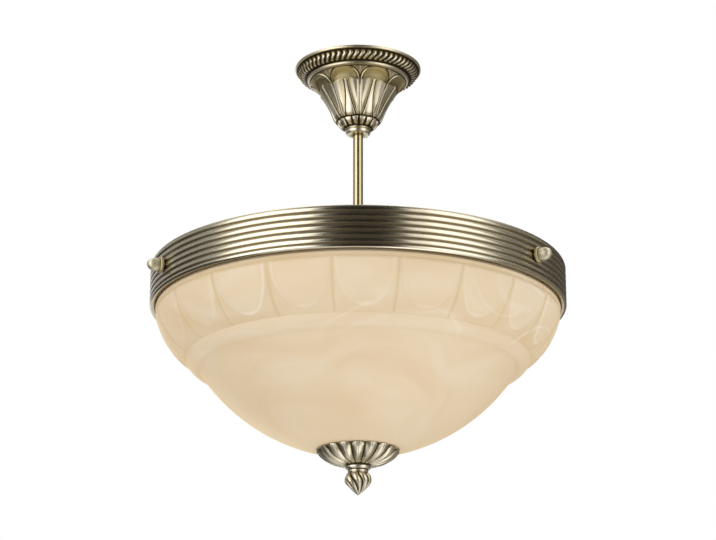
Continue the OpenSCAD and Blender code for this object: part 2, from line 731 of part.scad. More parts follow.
// A knob: a round foot with a bullet nose
module thumb_knob(az) {
    edge = knob_foot / 2;
    foot_edge = knob_foot_d / 2 - edge;
    nose_x = knob_x + knob_foot;
    r = knob_d / 2;
    color(BRASS) radial(az) turned_x(concat(
        [[thumb_r, knob_x]],
        [for (a = [-90 : 22.5 : 67.5]) [foot_edge + edge * cos(a), knob_x + edge + edge * sin(a)]],
        [[r, nose_x]],
        [for (a = [0 : 15 : 90]) [r * cos(a), nose_x + knob_len * (0.36 + 0.64 * sin(a))]],
        [[0, knob_hole_x], [thumb_r, knob_hole_x]]), thumb_z);
}

module thumb_tip_left() { thumb_tip(THUMB_AZ[0]); }
module thumb_tip_right() { thumb_tip(THUMB_AZ[1]); }
module thumb_tip_rear() { thumb_tip(THUMB_AZ[2]); }
module thumb_screw_left() { thumb_screw(THUMB_AZ[0]); }
module thumb_screw_right() { thumb_screw(THUMB_AZ[1]); }
module thumb_screw_rear() { thumb_screw(THUMB_AZ[2]); }
module thumb_knob_left() { thumb_knob(THUMB_AZ[0]); }
module thumb_knob_right() { thumb_knob(THUMB_AZ[1]); }
module thumb_knob_rear() { thumb_knob(THUMB_AZ[2]); }

// Outline of the bowl outside: collar, shoulder, ridge, dome, ground flat
function dome(r, low_r, high_r, n) = let (a0 = asin(high_r / r), a1 = asin(low_r / r))
    [for (i = [0 : n]) let (a = a0 + (a1 - a0) * i / n) [r * sin(a), dome_ball_z - r * cos(a)]];
function shoulder() = curve([bowl_r, band_low_z], [bowl_r - 5.5, band_low_z - ridge_depth * 0.4],
    [ridge_r + 21, band_low_z - ridge_depth * 0.72], ridge_top, 10);
// The ridge is a bead between two grooves, crossing from ridge_top to ridge_low
function ridge() = let (mid = (ridge_top + ridge_low) / 2, half = norm(ridge_top - ridge_low) / 2,
        along = (ridge_low - ridge_top) / (2 * half), out = [-along.y, along.x])
    [for (i = [0 : 6]) let (t = 180 - 30 * i)
        mid + half * 0.92 * cos(t) * along + ((ridge_rise + groove) * sin(t) - groove) * out];

module glass_bowl() {
    inner_ball = dome_ball_r - glass_t;
    floor_z = bowl_low_z + glass_t;
    top_z = band_low_z + bowl_collar_h;
    outer = concat(shoulder(), ridge(), dome(dome_ball_r, flat_r, dome_r, 14));
    inside = concat(moved(shoulder(), [-glass_t, glass_t * 0.35]),
        dome(inner_ball, flat_r, dome_r - glass_t * 0.7, 14));
    color(GLASS) rotate_extrude() polygon(concat(
        [[bowl_r - glass_t, top_z - 1], [bowl_r - glass_t + 1, top_z],
         [bowl_r - 1, top_z], [bowl_r, top_z - 1]],
        outer, [[stud_hole_r, bowl_low_z], [stud_hole_r, floor_z], [flat_r - 0.5, floor_z]],
        reversed(inside)));
}

module finial_stud() {
    color(STEEL) translate([0, 0, stud_low_z]) cylinder(h = stud_top_z - stud_low_z, r = stud_r);
}

module finial_nut_inner() { color(STEEL) hex_nut(inner_nut_z, stud_nut_af, stud_nut_h, stud_r + running); }
module finial_washer() { color(STEEL) washer(inner_washer_z, pad_r, stud_r + hole_clear, pad_t); }
module finial_pad_inner() { color(RUBBER) washer(bowl_low_z + glass_t, pad_r, stud_r + hole_clear, pad_t); }
module finial_pad_outer() { color(RUBBER) washer(bowl_low_z - pad_t, pad_r - 4, stud_r + hole_clear, pad_t); }
module finial_nut_outer() { color(STEEL) hex_nut(outer_nut_z, stud_nut_af, thin_nut_h, stud_r + running); }

// The leaf cup: a thin shell with a notch between each two leaves
module finial_cup() {
    hub_r = ring_d / 2 + 0.6;
    outer = curve([hub_r, cup_low_z], [cup_r * 0.72, cup_low_z + 1], [cup_r * 0.95, cup_top_z - cup_h * 0.38],
        [cup_r, cup_top_z], 8);
    inside = curve([hub_r, cup_low_z + cup_t], [cup_r * 0.72 - cup_t * 0.6, cup_low_z + 1 + cup_t],
        [cup_r * 0.95 - cup_t, cup_top_z - cup_h * 0.38 + cup_t * 0.4], [cup_rim_r, cup_top_z], 8);
    color(BRASS) difference() {
        rotate_extrude() polygon(concat([[stud_r + running, cup_low_z]], outer, reversed(inside),
            [[stud_r + running, cup_low_z + cup_t]]));
        for (i = [0 : leaves - 1]) radial(360 * i / leaves)
            rod_x(cup_r * 0.8, cup_r + 4, notch_r, cup_top_z);
    }
}

module finial_ring() {
    half = ring_h / 2;
    r = ring_d / 2;
    color(BRASS) rotate_extrude() polygon(concat([[stud_r + running, cup_low_z]],
        arc([r - half, cup_low_z - half], half, 90, -90, 6), [[stud_r + running, ring_low_z]]));
}

module finial_bud() {
    neck = 10;
    neck_h = 3.2;
    r = bud_d / 2;
    wide_z = ring_low_z - neck_h - 7;
    color(BRASS) rotate_extrude() polygon(concat(
        [[stud_r + running, ring_low_z]],
        arc([neck - neck_h / 2, ring_low_z - neck_h / 2], neck_h / 2, 90, -90, 5),
        curve([neck - 0.8, ring_low_z - neck_h], [r, ring_low_z - neck_h - 1], [r + 0.6, wide_z + 1],
            [r - 0.4, wide_z - 1.6], 6),
        curve([r - 0.8, wide_z - 2.4], [r * 0.72, wide_z - 7], [r * 0.34, bud_tip_z + 4.2],
            [0, bud_tip_z], 7),
        [[0, stud_low_z - 1], [stud_r + running, stud_low_z - 1]]));
}

ceiling_bracket();
earth_screw();
terminal_block();
terminal_clamp_screws();
terminal_block_screw();
tube_washer_upper();
tube_nut_upper();
tube_nut_lower();
tube();
tube_bush_upper();
tube_bush_lower();
canopy();
canopy_collar();
collar_set_screw();
pan();
pan_cap_nut();
star_bracket();
pan_washer();
pan_nut();
thumb_bosses();
lampholder_front();
lampholder_right();
lampholder_left();
lampholder_shells();
lampholder_contacts();
lampholder_nipples();
lampholder_nuts();
bulb_contact_front();
bulb_contact_right();
bulb_contact_left();
bulb_cap_front();
bulb_cap_right();
bulb_cap_left();
bulb_glass_front();
bulb_glass_right();
bulb_glass_left();
flex_in_tube();
terminal_cores();
lampholder_leads();
thumb_tip_left();
thumb_tip_right();
thumb_tip_rear();
thumb_screw_left();
thumb_screw_right();
thumb_screw_rear();
thumb_knob_left();
thumb_knob_right();
thumb_knob_rear();
glass_bowl();
finial_stud();
finial_nut_inner();
finial_washer();
finial_pad_inner();
finial_pad_outer();
finial_nut_outer();
finial_cup();
finial_ring();
finial_bud();
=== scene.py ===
import math

import bmesh
import bpy
import numpy as np
from mathutils import Matrix, Vector


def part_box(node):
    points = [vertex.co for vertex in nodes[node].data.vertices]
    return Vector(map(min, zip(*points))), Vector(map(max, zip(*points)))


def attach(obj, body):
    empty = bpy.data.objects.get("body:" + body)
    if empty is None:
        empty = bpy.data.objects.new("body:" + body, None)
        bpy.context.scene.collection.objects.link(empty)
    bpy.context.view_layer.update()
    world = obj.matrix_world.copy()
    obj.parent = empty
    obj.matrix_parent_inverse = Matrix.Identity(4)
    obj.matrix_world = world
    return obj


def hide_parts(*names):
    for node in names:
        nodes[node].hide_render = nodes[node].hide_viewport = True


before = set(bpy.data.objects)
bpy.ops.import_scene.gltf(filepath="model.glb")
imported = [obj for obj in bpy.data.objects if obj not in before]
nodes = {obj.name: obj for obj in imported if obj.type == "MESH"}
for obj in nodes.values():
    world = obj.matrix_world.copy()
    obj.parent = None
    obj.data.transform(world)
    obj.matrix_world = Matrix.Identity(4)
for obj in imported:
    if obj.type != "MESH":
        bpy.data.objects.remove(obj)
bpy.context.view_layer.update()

# The looks of a semi-flush ceiling light: a fluted canopy, a reeded pan and a pressed glass bowl.
# Shapes are worked out in millimetres in the frame's own axes (z = 0 is the ceiling), then made in metres.
# Each turned piece is one closed outline, given as sections, and a section may have a relief.

MM = 0.001
SAME_POINT = 1e-4
ON_AXIS = 1e-6


def box_mm(node):
    """Lowest and highest corner of a node, in millimetres."""
    low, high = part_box(node)
    return np.array(low) / MM, np.array(high) / MM


# Camera
FOCAL_PX = 2256.7
IMAGE_W_PX = 716
SENSOR_MM = 36.0
CAMERA_PLACE = (0.0, -2.1219, -0.889)
CAMERA_PITCH = 17.653
CAMERA_FAR = 50

camera_data = bpy.data.cameras.new("camera")
camera_data.sensor_width = SENSOR_MM
camera_data.lens = FOCAL_PX / IMAGE_W_PX * SENSOR_MM
camera_data.clip_end = CAMERA_FAR
camera = bpy.data.objects.new("camera", camera_data)
camera.location = CAMERA_PLACE
camera.rotation_euler = (math.radians(90 + CAMERA_PITCH), 0, 0)
bpy.context.scene.collection.objects.link(camera)
bpy.context.scene.camera = camera


# Small shape functions, all on numpy arrays

def curve(a, b, c, d, count):
    """Points along a cubic curve."""
    t = np.linspace(0, 1, count)[:, None]
    s = 1 - t
    a, b, c, d = (np.array(p, float) for p in (a, b, c, d))
    return s**3 * a + 3 * s * s * t * b + 3 * s * t * t * c + t**3 * d


def arc(centre, radius, start, end, count):
    """Points along an arc, from one angle in degrees to another."""
    a = np.radians(np.linspace(start, end, count))
    return np.array(centre, float) + radius * np.c_[np.cos(a), np.sin(a)]


def line(*points, step=None):
    """Points along straight runs, with one every step millimetres if step is given."""
    points = [np.array(p, float) for p in points]
    if step is None:
        return np.array(points)
    run = [points[0][None]]
    for a, b in zip(points, points[1:]):
        count = max(1, int(round(np.linalg.norm(b - a) / step)))
        run.append(a + (b - a) * np.linspace(0, 1, count + 1)[1:, None])
    return np.concatenate(run)


def smooth(x):
    """Smooth step from 0 to 1 for x from 0 to 1."""
    x = np.clip(x, 0, 1)
    return x * x * (3 - 2 * x)


def bump(x):
    """A smooth bump: 1 at x = 0, 0 from |x| = 1 outwards."""
    return smooth(1 - np.abs(x))


def cell(azimuth, count):
    """Place inside one of count equal cells round the axis, from -0.5 to 0.5, with an edge at azimuth 0."""
    return azimuth * count / (2 * math.pi) % 1 - 0.5


# Turned pieces

def turned(name, sections, sides, warp=None, loop=True):
    """A closed solid of revolution round z. Each section is (points, tone) or (points, relief, tone),
    with points (r, z) in millimetres. relief(azimuth, r, z) moves the skin along its normal. tone is a
    number or a function of the same three: the depth of tarnish on brass, which on the canopy's petals
    also holds painted shade; on the glass's shoulder and ridge it makes the glass paler, with painted
    highlights, above 0, and more golden, with painted shade, below 0. warp(azimuth, r, z) gives new r and
    z."""
    outline, heights, patina_and_painted_light_rows = [], [], []
    azimuth = np.arange(sides) * 2 * math.pi / sides
    for points, *relief, patina_and_painted_light in sections:
        r, z = points[:, :1], points[:, 1:]
        flat = np.zeros((len(points), sides))
        heights.append(flat + (relief[0](azimuth[None], r, z) if relief else 0))
        patina_and_painted_light_rows.append(flat + (patina_and_painted_light(azimuth[None], r, z) if callable(patina_and_painted_light) else patina_and_painted_light))
        outline.append(points)
    outline = np.concatenate(outline)
    heights = np.concatenate(heights)
    patina_and_painted_light_rows = np.concatenate(patina_and_painted_light_rows)
    keep = np.r_[True, np.linalg.norm(np.diff(outline, axis=0), axis=1) > SAME_POINT]
    outline, heights, patina_and_painted_light_rows = outline[keep], heights[keep], patina_and_painted_light_rows[keep]
    if loop and np.linalg.norm(outline[0] - outline[-1]) < SAME_POINT:
        outline, heights, patina_and_painted_light_rows = outline[:-1], heights[:-1], patina_and_painted_light_rows[:-1]
    before = np.roll(outline, 1, axis=0)
    after = np.roll(outline, -1, axis=0)
    if not loop:
        before[0], after[-1] = outline[0], outline[-1]
    way = after - before
    way /= np.linalg.norm(way, axis=1)[:, None]
    normal = np.c_[-way[:, 1], way[:, 0]]
    if signed_area(outline) < 0:
        normal = -normal
    r = outline[:, :1] - normal[:, :1] * heights
    z = outline[:, 1:] - normal[:, 1:] * heights
    if warp:
        r, z = warp(azimuth[None], r, z)
    r = np.maximum(r, 0)
    points = np.stack([r * np.cos(azimuth), r * np.sin(azimuth), z + 0 * azimuth], axis=-1)
    return mesh_from_rings(name, points, patina_and_painted_light_rows, loop)


def signed_area(p):
    q = np.roll(p, -1, axis=0)
    return 0.5 * np.sum(p[:, 0] * q[:, 1] - q[:, 0] * p[:, 1])


def mesh_from_rings(name, points, patina_and_painted_light_rows, loop):
    """Quads between neighbouring rings; a ring at the axis becomes one point."""
    rings, sides = points.shape[:2]
    verts, index, values = [], [], []
    total = 0
    for i in range(rings):
        at_axis = np.hypot(points[i, :, 0], points[i, :, 1]).max() < ON_AXIS
        count = 1 if at_axis else sides
        verts.append(points[i, :count])
        values.append(patina_and_painted_light_rows[i, :count])
        index.append(np.full(sides, total) if at_axis else total + np.arange(sides))
        total += count
    faces = []
    pairs = [(i, (i + 1) % rings) for i in range(rings if loop else rings - 1)]
    for i, j in pairs:
        a, b = index[i], index[j]
        a2, b2 = np.roll(a, -1), np.roll(b, -1)
        if a[0] == a[-1] and b[0] == b[-1]:
            continue
        if a[0] == a[-1]:
            faces += np.c_[a, b, b2].tolist()
        elif b[0] == b[-1]:
            faces += np.c_[a, b, a2].tolist()
        else:
            faces += np.c_[a, b, b2, a2].tolist()
    return add_mesh(name, np.concatenate(verts), faces, np.concatenate(values))


def add_mesh(name, points_mm, faces, patina_and_painted_light=None):
    mesh = bpy.data.meshes.new(name)
    mesh.from_pydata((points_mm * MM).tolist(), [], faces)
    # The tone of each point: depth of tarnish on brass, with painted shade on the canopy's petals, and
    # painted highlights and painted shade on the glass.
    if patina_and_painted_light is not None:
        layer = mesh.attributes.new("patina_and_painted_light", "FLOAT", "POINT")
        layer.data.foreach_set("value", patina_and_painted_light.astype(np.float32))
    piece = bpy.data.objects.new(name, mesh)
    bpy.context.scene.collection.objects.link(piece)
    tidy = bmesh.new()
    tidy.from_mesh(mesh)
    bmesh.ops.recalc_face_normals(tidy, faces=tidy.faces)
    tidy.to_mesh(mesh)
    tidy.free()
    mesh.polygons.foreach_set("use_smooth", np.ones(len(mesh.polygons), bool))
    mesh.update()
    return piece


def along_x(piece, azimuth, z_mm):
    """Turns a piece made round z so that its axis points out at that azimuth, at that height."""
    turn = Matrix.Rotation(math.radians(azimuth), 4, "Z") @ Matrix.Rotation(math.pi / 2, 4, "Y")
    piece.data.transform(Matrix.Translation((0, 0, z_mm * MM)) @ turn)


def stand_for(piece, node, body, material):
    """The piece shows in place of a node, rides on its body and gets its material."""
    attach(piece, body)
    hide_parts(node)
    piece.data.materials.append(material)


# Materials

BLACK = (0, 0, 0)
WHITE = (1, 1, 1)
MIX_FACTOR, MIX_A, MIX_B = 0, 6, 7
MIX_RESULT = 2
CLOUD_STOPS = (0.3, 0.7)
FINE_BUMP = 0.0004


def new_material(name, surface):
    """A material, its node tree and its shader, with the shader's inputs set from surface."""
    material = bpy.data.materials.new(name)
    material.use_nodes = True
    tree = material.node_tree
    shader = tree.nodes["Principled BSDF"]
    for key, value in surface.items():
        shader.inputs[key].default_value = value
    return material, tree, shader


def add(tree, kind, **values):
    node = tree.nodes.new(kind)
    for key, value in values.items():
        if key in node.inputs:
            node.inputs[key].default_value = value
        else:
            setattr(node, key, value)
    return node


def wire(tree, source, output, target, input_name):
    tree.links.new(source.outputs[output], target.inputs[input_name])


def feed(tree, item, target, input_name):
    """Sets an input from a (node, output) pair or from a plain value."""
    if isinstance(item, tuple) and isinstance(item[0], bpy.types.Node):
        wire(tree, *item, target, input_name)
    else:
        target.inputs[input_name].default_value = item


def own_place(tree):
    """Place in the object's own axes, as a (node, output) pair."""
    return add(tree, "ShaderNodeTexCoord"), "Object"


def noise(tree, scale, detail=3.0, roughness=0.55, distortion=0.0, place=None):
    """A noise that follows the object's own axes, or another (node, output) pair."""
    node = add(tree, "ShaderNodeTexNoise", Scale=scale, Detail=detail, Roughness=roughness,
               Distortion=distortion)
    feed(tree, place or own_place(tree), node, "Vector")
    return node


def ramp(tree, source, output, stops):
    """A colour ramp of (place, colour) stops."""
    node = add(tree, "ShaderNodeValToRGB")
    elements = node.color_ramp.elements
    while len(elements) < len(stops):
        elements.new(0.5)
    for element, (place, colour) in zip(elements, stops):
        element.position = place
        element.color = (*colour, 1)
    wire(tree, source, output, node, "Fac")
    return node


def spread(tree, source, output, low, high, start=0.0, end=1.0):
    """A value that goes from low to high as source goes from start to end."""
    node = add(tree, "ShaderNodeMapRange",
               **{"To Min": low, "To Max": high, "From Min": start, "From Max": end})
    wire(tree, source, output, node, "Value")
    return node


def mix(tree, factor, a, b, blend="MIX"):
    """A colour mix; factor, a and b are (node, output) pairs or plain values."""
    node = add(tree, "ShaderNodeMix", data_type="RGBA", blend_type=blend)
    for number, item in ((MIX_FACTOR, factor), (MIX_A, a), (MIX_B, b)):
        feed(tree, item, node, number)
    return node


def reckon(tree, operation, a, b):
    """Maths on two (node, output) pairs or numbers, with the answer kept between 0 and 1."""
    node = add(tree, "ShaderNodeMath", operation=operation, use_clamp=True)
    feed(tree, a, node, 0)
    feed(tree, b, node, 1)
    return node


def roughen(tree, shader, source, strength, distance):
    node = add(tree, "ShaderNodeBump", Strength=strength, Distance=distance)
    wire(tree, source, "Fac", node, "Height")
    wire(tree, node, "Normal", shader, "Normal")


def clouded(tree, shader, cloud, tones, rough):
    """Colour between two tones and roughness between two values, both following a noise."""
    tint = ramp(tree, cloud, "Fac", list(zip(CLOUD_STOPS, tones)))
    wire(tree, tint, "Color", shader, "Base Color")
    rough_map = spread(tree, cloud, "Fac", *rough)
    wire(tree, rough_map, "Result", shader, "Roughness")


def shade(colour, change):
    return tuple(part * change for part in colour)


def spun_rings(tree, scale):
    """Fine rings round the axis, as a spinning tool leaves them: a noise of radius and height alone."""
    place = own_place(tree)
    flat = add(tree, "ShaderNodeVectorMath", operation="MULTIPLY")
    feed(tree, place, flat, 0)
    flat.inputs[1].default_value = (1, 1, 0)
    radius = add(tree, "ShaderNodeVectorMath", operation="LENGTH")
    wire(tree, flat, "Vector", radius, 0)
    split = add(tree, "ShaderNodeSeparateXYZ")
    feed(tree, place, split, "Vector")
    section = add(tree, "ShaderNodeCombineXYZ")
    wire(tree, radius, "Value", section, "X")
    wire(tree, split, "Z", section, "Z")
    return noise(tree, scale, roughness=0.6, place=(section, "Vector"))


WARM_AT = 0.36
DARK_AT = 0.85
PATCHY = 0.07
PATINA_ROUGH = 0.25


def antique_brass(name, bright, warm, dark, rough, spun=False):
    """Satin antique brass: bright where it is rubbed, then golden, then dark where tarnish has settled, by
    the piece's own depth of tarnish, which on the canopy's petals also holds painted shade. Spun brass has
    rings, and cast brass a fine grain."""
    material, tree, shader = new_material(name, {"Metallic": 1.0})
    # Depth of tarnish, with painted shade in the canopy's coves and flutes.
    depth = add(tree, "ShaderNodeAttribute", attribute_name="patina_and_painted_light")
    patches = spread(tree, noise(tree, 55.0, detail=4.0), "Fac", -PATCHY, PATCHY)
    patina_and_painted_light = reckon(tree, "ADD", (depth, "Fac"), (patches, "Result"))
    colour = ramp(tree, patina_and_painted_light, "Value", [(0.0, bright), (WARM_AT, warm), (DARK_AT, dark)])
    wire(tree, colour, "Color", shader, "Base Color")
    rough_map = spread(tree, patina_and_painted_light, "Value", rough, rough + PATINA_ROUGH)
    wire(tree, rough_map, "Result", shader, "Roughness")
    if spun:
        roughen(tree, shader, spun_rings(tree, 700.0), 0.12, FINE_BUMP)
    else:
        roughen(tree, shader, noise(tree, 900.0, detail=2.0), 0.05, FINE_BUMP)
    return material


def plated_steel(name, colour, rough):
    material, tree, shader = new_material(name, {"Metallic": 1.0})
    cloud = noise(tree, 140.0, detail=4.0)
    clouded(tree, shader, cloud, (shade(colour, 0.86), colour), (rough - 0.06, rough + 0.1))
    roughen(tree, shader, noise(tree, 700.0, detail=2.0), 0.06, FINE_BUMP)
    return material


def plain_solid(name, colour, rough, coat=0.0, scale=120.0, change=0.92, bumps=0.05):
    """Ceramic, plastic and rubber: one colour with a little change in tone and a fine bump."""
    material, tree, shader = new_material(name, {"Coat Weight": coat})
    clouded(tree, shader, noise(tree, scale), (shade(colour, change), colour), (rough - 0.04, rough + 0.06))
    roughen(tree, shader, noise(tree, scale * 6, detail=2.0), bumps, 0.0005)
    return material


def frosted_bulb():
    material, tree, shader = new_material("bulb_glass", {"Coat Weight": 0.3})
    clouded(tree, shader, noise(tree, 90.0), ((0.90, 0.90, 0.87), (0.94, 0.94, 0.92)), (0.28, 0.4))
    return material


GLASS_SURFACE = {
    "Roughness": 0.45, "IOR": 1.45, "Specular IOR Level": 0.3, "Coat Weight": 0.03, "Coat Roughness": 0.2,
    "Sheen Weight": 0.9, "Sheen Roughness": 0.4, "Sheen Tint": (1.0, 0.77, 0.44, 1)}
CREAM = [(0.30, (0.735, 0.562, 0.355)), (0.45, (0.750, 0.588, 0.390)), (0.55, (0.765, 0.612, 0.420)),
         (0.70, (0.785, 0.645, 0.465))]
THREAD_MILK = (0.86, 0.76, 0.61, 1)
# Colours the shoulder's tone mixes in: paler, with painted highlights, and golden, with painted shade.
PALE_AND_HIGHLIGHT = (0.90, 0.81, 0.67, 1)
GOLD_AND_SHADE = (0.56, 0.42, 0.19, 1)
THREAD_GREY = (0.62, 0.62, 0.62)
THREADS_LOW = -0.322
THREADS_HIGH = -0.300
FAINT = 0.22
DRIFT_PULL = (0.22, 0.22, 0.22)
DRIFT_STRETCH = (0.8, 0.8, 2.8)


def drifting_place(tree, place):
    """That place, pulled about by a broad noise and stretched, as a (node, output) pair."""
    pull = add(tree, "ShaderNodeVectorMath", operation="MULTIPLY_ADD")
    wire(tree, noise(tree, 5.0, detail=2.0, roughness=0.5, place=place), "Color", pull, 0)
    pull.inputs[1].default_value = DRIFT_PULL
    feed(tree, place, pull, 2)
    stretch = add(tree, "ShaderNodeMapping", Scale=DRIFT_STRETCH)
    wire(tree, pull, "Vector", stretch, "Vector")
    return stretch, "Vector"


def milky_threads(tree, place, drift, fading):
    """Share of milk in the thin threads, which come and go and are faint below the ridge."""
    threads = noise(tree, 5.0, detail=1.5, roughness=0.45, distortion=0.6, place=drift)
    thread = ramp(tree, threads, "Fac", [
        (0.480, BLACK), (0.50, THREAD_GREY), (0.505, THREAD_GREY), (0.522, BLACK)])
    faded = ramp(tree, fading, "Fac", [(0.38, BLACK), (0.58, WHITE)])
    split = add(tree, "ShaderNodeSeparateXYZ")
    feed(tree, place, split, "Vector")
    above_ridge = spread(tree, split, "Z", FAINT, 1.0, THREADS_LOW, THREADS_HIGH)
    shown = mix(tree, 1.0, (faded, "Color"), (above_ridge, "Result"), "MULTIPLY")
    return mix(tree, 1.0, (thread, "Color"), (shown, MIX_RESULT), "MULTIPLY")


def alabaster_glass():
    """Opal glass with an alabaster tint: cream with broad soft clouds and a few thin milky threads. The
    piece's own tone makes it paler above 0, with painted highlights, and more golden below 0, with
    painted shade."""
    material, tree, shader = new_material("alabaster_glass", GLASS_SURFACE)
    place = own_place(tree)
    drift = drifting_place(tree, place)
    fading = noise(tree, 7.0, detail=1.0, roughness=0.5, place=place)
    clouds = noise(tree, 9.0, roughness=0.5, distortion=0.3, place=drift)
    cream = ramp(tree, clouds, "Fac", CREAM)
    threads = milky_threads(tree, place, drift, fading)
    milky = mix(tree, (threads, MIX_RESULT), (cream, "Color"), THREAD_MILK)
    # The piece's tone: painted highlights above 0 and painted shade below 0.
    edge = add(tree, "ShaderNodeAttribute", attribute_name="patina_and_painted_light")
    uneven = ramp(tree, fading, "Fac", [(0.40, (0.2, 0.2, 0.2)), (0.60, (1.6, 1.6, 1.6))])
    pale_and_highlight_share = reckon(tree, "MULTIPLY", (edge, "Fac"), (uneven, "Color"))
    paler = mix(tree, (pale_and_highlight_share, "Value"), (milky, MIX_RESULT), PALE_AND_HIGHLIGHT)
    gold_and_shade_share = reckon(tree, "MULTIPLY", (edge, "Fac"), -1)
    lit = mix(tree, (gold_and_shade_share, "Value"), (paler, MIX_RESULT), GOLD_AND_SHADE)
    wire(tree, lit, MIX_RESULT, shader, "Base Color")
    roughen(tree, shader, noise(tree, 60.0), 0.05, 0.002)
    return material


BRIGHT_BRASS = (0.76, 0.705, 0.59)
WARM_BRASS = (0.52, 0.435, 0.235)
PATINA = (0.045, 0.033, 0.018)
SPUN_BRASS = (0.72, 0.66, 0.53)
SPUN_WARM = (0.50, 0.43, 0.28)
SPUN_DARK = (0.22, 0.175, 0.105)
TUBE_BRASS = (0.50, 0.43, 0.25)
KNOB_BRASS = (0.66, 0.60, 0.45)
cast_brass = antique_brass("cast_brass", BRIGHT_BRASS, WARM_BRASS, PATINA, 0.30)
spun_brass = antique_brass("spun_brass", SPUN_BRASS, SPUN_WARM, SPUN_DARK, 0.17, spun=True)
tube_brass = antique_brass("tube_brass", TUBE_BRASS, WARM_BRASS, PATINA, 0.22)
knob_brass = antique_brass("knob_brass", KNOB_BRASS, WARM_BRASS, PATINA, 0.5)
zinc = plated_steel("zinc_steel", (0.62, 0.62, 0.60), 0.34)
screw_brass = plated_steel("screw_brass", (0.76, 0.56, 0.25), 0.28)
nickel = plated_steel("nickel", (0.72, 0.71, 0.68), 0.22)
glass = alabaster_glass()
bulb = frosted_bulb()
porcelain = plain_solid("porcelain", (0.80, 0.79, 0.75), 0.22, coat=0.6, change=0.96, bumps=0.02)
nylon = plain_solid("nylon", (0.78, 0.76, 0.70), 0.42)
rubber = plain_solid("black_rubber", (0.03, 0.03, 0.03), 0.62, change=0.75, bumps=0.15)
sheath = plain_solid("flex_sheath", (0.74, 0.73, 0.69), 0.38)


THUMB_NAMES = ("left", "right", "rear")
LAMP_NAMES = ("front", "right", "left")


def family(stem, names):
    return [stem + name for name in names]


NODE_MATERIALS = {
    zinc: ["ceiling_bracket", "earth_screw", "terminal_block_screw", "tube_washer_upper", "tube_nut_upper",
           "tube_nut_lower", "star_bracket", "pan_washer", "pan_nut", "thumb_bosses", "lampholder_nipples",
           "lampholder_nuts", "collar_set_screw", "finial_stud", "finial_nut_inner", "finial_washer",
           "finial_nut_outer", *family("thumb_screw_", THUMB_NAMES)],
    tube_brass: ["tube", "pan_cap_nut"],
    screw_brass: ["terminal_clamp_screws", "lampholder_shells", "lampholder_contacts"],
    nickel: family("bulb_contact_", LAMP_NAMES),
    bulb: family("bulb_glass_", LAMP_NAMES),
    porcelain: family("lampholder_", LAMP_NAMES),
    nylon: ["terminal_block", "tube_bush_upper", "tube_bush_lower", *family("thumb_tip_", THUMB_NAMES)],
    rubber: ["finial_pad_inner", "finial_pad_outer"],
    sheath: ["flex_in_tube", "lampholder_leads"],
}
for material, names in NODE_MATERIALS.items():
    for name in names:
        nodes[name].data.materials.clear()
        nodes[name].data.materials.append(material)


# Sizes shared with the frame, in millimetres

def half_width(node):
    """Half of a node's width along x."""
    low, high = box_mm(node)
    return (high[0] - low[0]) / 2


def heights_of(node):
    """Lowest and highest z of a node."""
    low, high = box_mm(node)
    return low[2], high[2]


def middle_of(node):
    """Middle of a node's box."""
    low, high = box_mm(node)
    return (low + high) / 2


def azimuth_of(node):
    """Azimuth in degrees of the middle of a node."""
    middle = middle_of(node)
    return math.degrees(math.atan2(middle[1], middle[0]))


# How far inside the CAD's own skin the collar and the knobs' feet are
INSET = 0.4

ROD_R = half_width("tube")
CANOPY_R = half_width("canopy")
COLLAR_R = half_width("canopy_collar") - INSET
PAN_R = half_width("pan")
BOWL_R = half_width("glass_bowl")
CUP_R = half_width("finial_cup")
RING_R = half_width("finial_ring")
BUD_R = half_width("finial_bud")
STUD_R = half_width("finial_stud")

CANOPY_FOOT = heights_of("canopy")[0]
COLLAR_LOW = heights_of("canopy_collar")[0]
BAND_LOW, CROWN = heights_of("pan")
BOWL_LOW, BOWL_TOP = heights_of("glass_bowl")
CUP_LOW, CUP_TOP = heights_of("finial_cup")
RING_LOW, RING_TOP = heights_of("finial_ring")
BUD_LOW, BUD_TOP = heights_of("finial_bud")
STUD_LOW = heights_of("finial_stud")[0]
KNOB_LOW, KNOB_HIGH = heights_of("thumb_knob_right")
SCREW_LOW, SCREW_HIGH = heights_of("thumb_screw_right")
THUMB_Z = (SCREW_LOW + SCREW_HIGH) / 2
THUMB_R = (SCREW_HIGH - SCREW_LOW) / 2
THUMBS = {name: azimuth_of("thumb_tip_" + name) for name in THUMB_NAMES}
LAMPS = {name: azimuth_of("bulb_contact_" + name) for name in LAMP_NAMES}

BAND_H = 40.0
BAND_TOP = BAND_LOW + BAND_H
CANOPY_GAP = 0.6
THREAD_GAP = 0.05
PAN_GAP = 0.15
KNOB_GAP = 0.6
HOLE_GAP = 0.3
STUD_GAP = 1.5


# Canopy

CANOPY_WALL = 1.5
LIP_H = 2.6
ROPE_C = np.array([CANOPY_R - 8.9, -LIP_H - 2.7])
ROPE_R = 5.4
BEAD_C = np.array([CANOPY_R - 13.7, -13.1])
BEAD_R = 1.55
BELL_TOP = np.array([CANOPY_R - 15.1, -15.8])
BELL_LOW = np.array([25.2, CANOPY_FOOT + 13])
FOOT_R = COLLAR_R + 0.9
PETALS = 8
PETAL_START = math.radians(3)
GADROONS = 16
ROPE_STRANDS = 62
ROPE_LEAN = 0.9
ROPE_DEPTH = 1.5
ARCH_TOP = -14.9
ARCH_LOW = -27.0
ARCH_POWER = 2.1
ARCH_RUN = 18.0
COVE_TOP = -15.6
COVE_LOW = -26.3
WEDGE_TOP = -24.4
FLUTE_LOW = CANOPY_FOOT + 8
WEDGE_NECK = 0.06
WEDGE_FLARE = 0.5
BAR_W = 1.0
BAR_WIDENS = 2.4
BAR_NARROWS = 0.35
BAR_H = 0.75
COVE_DEPTH = 5.0
WEDGE_H = 0.55
GAP_DEPTH = 0.75
OUTLINE_DEPTH = 0.9
GADROON_H = 1.7
GADROON_SINK = 1.3
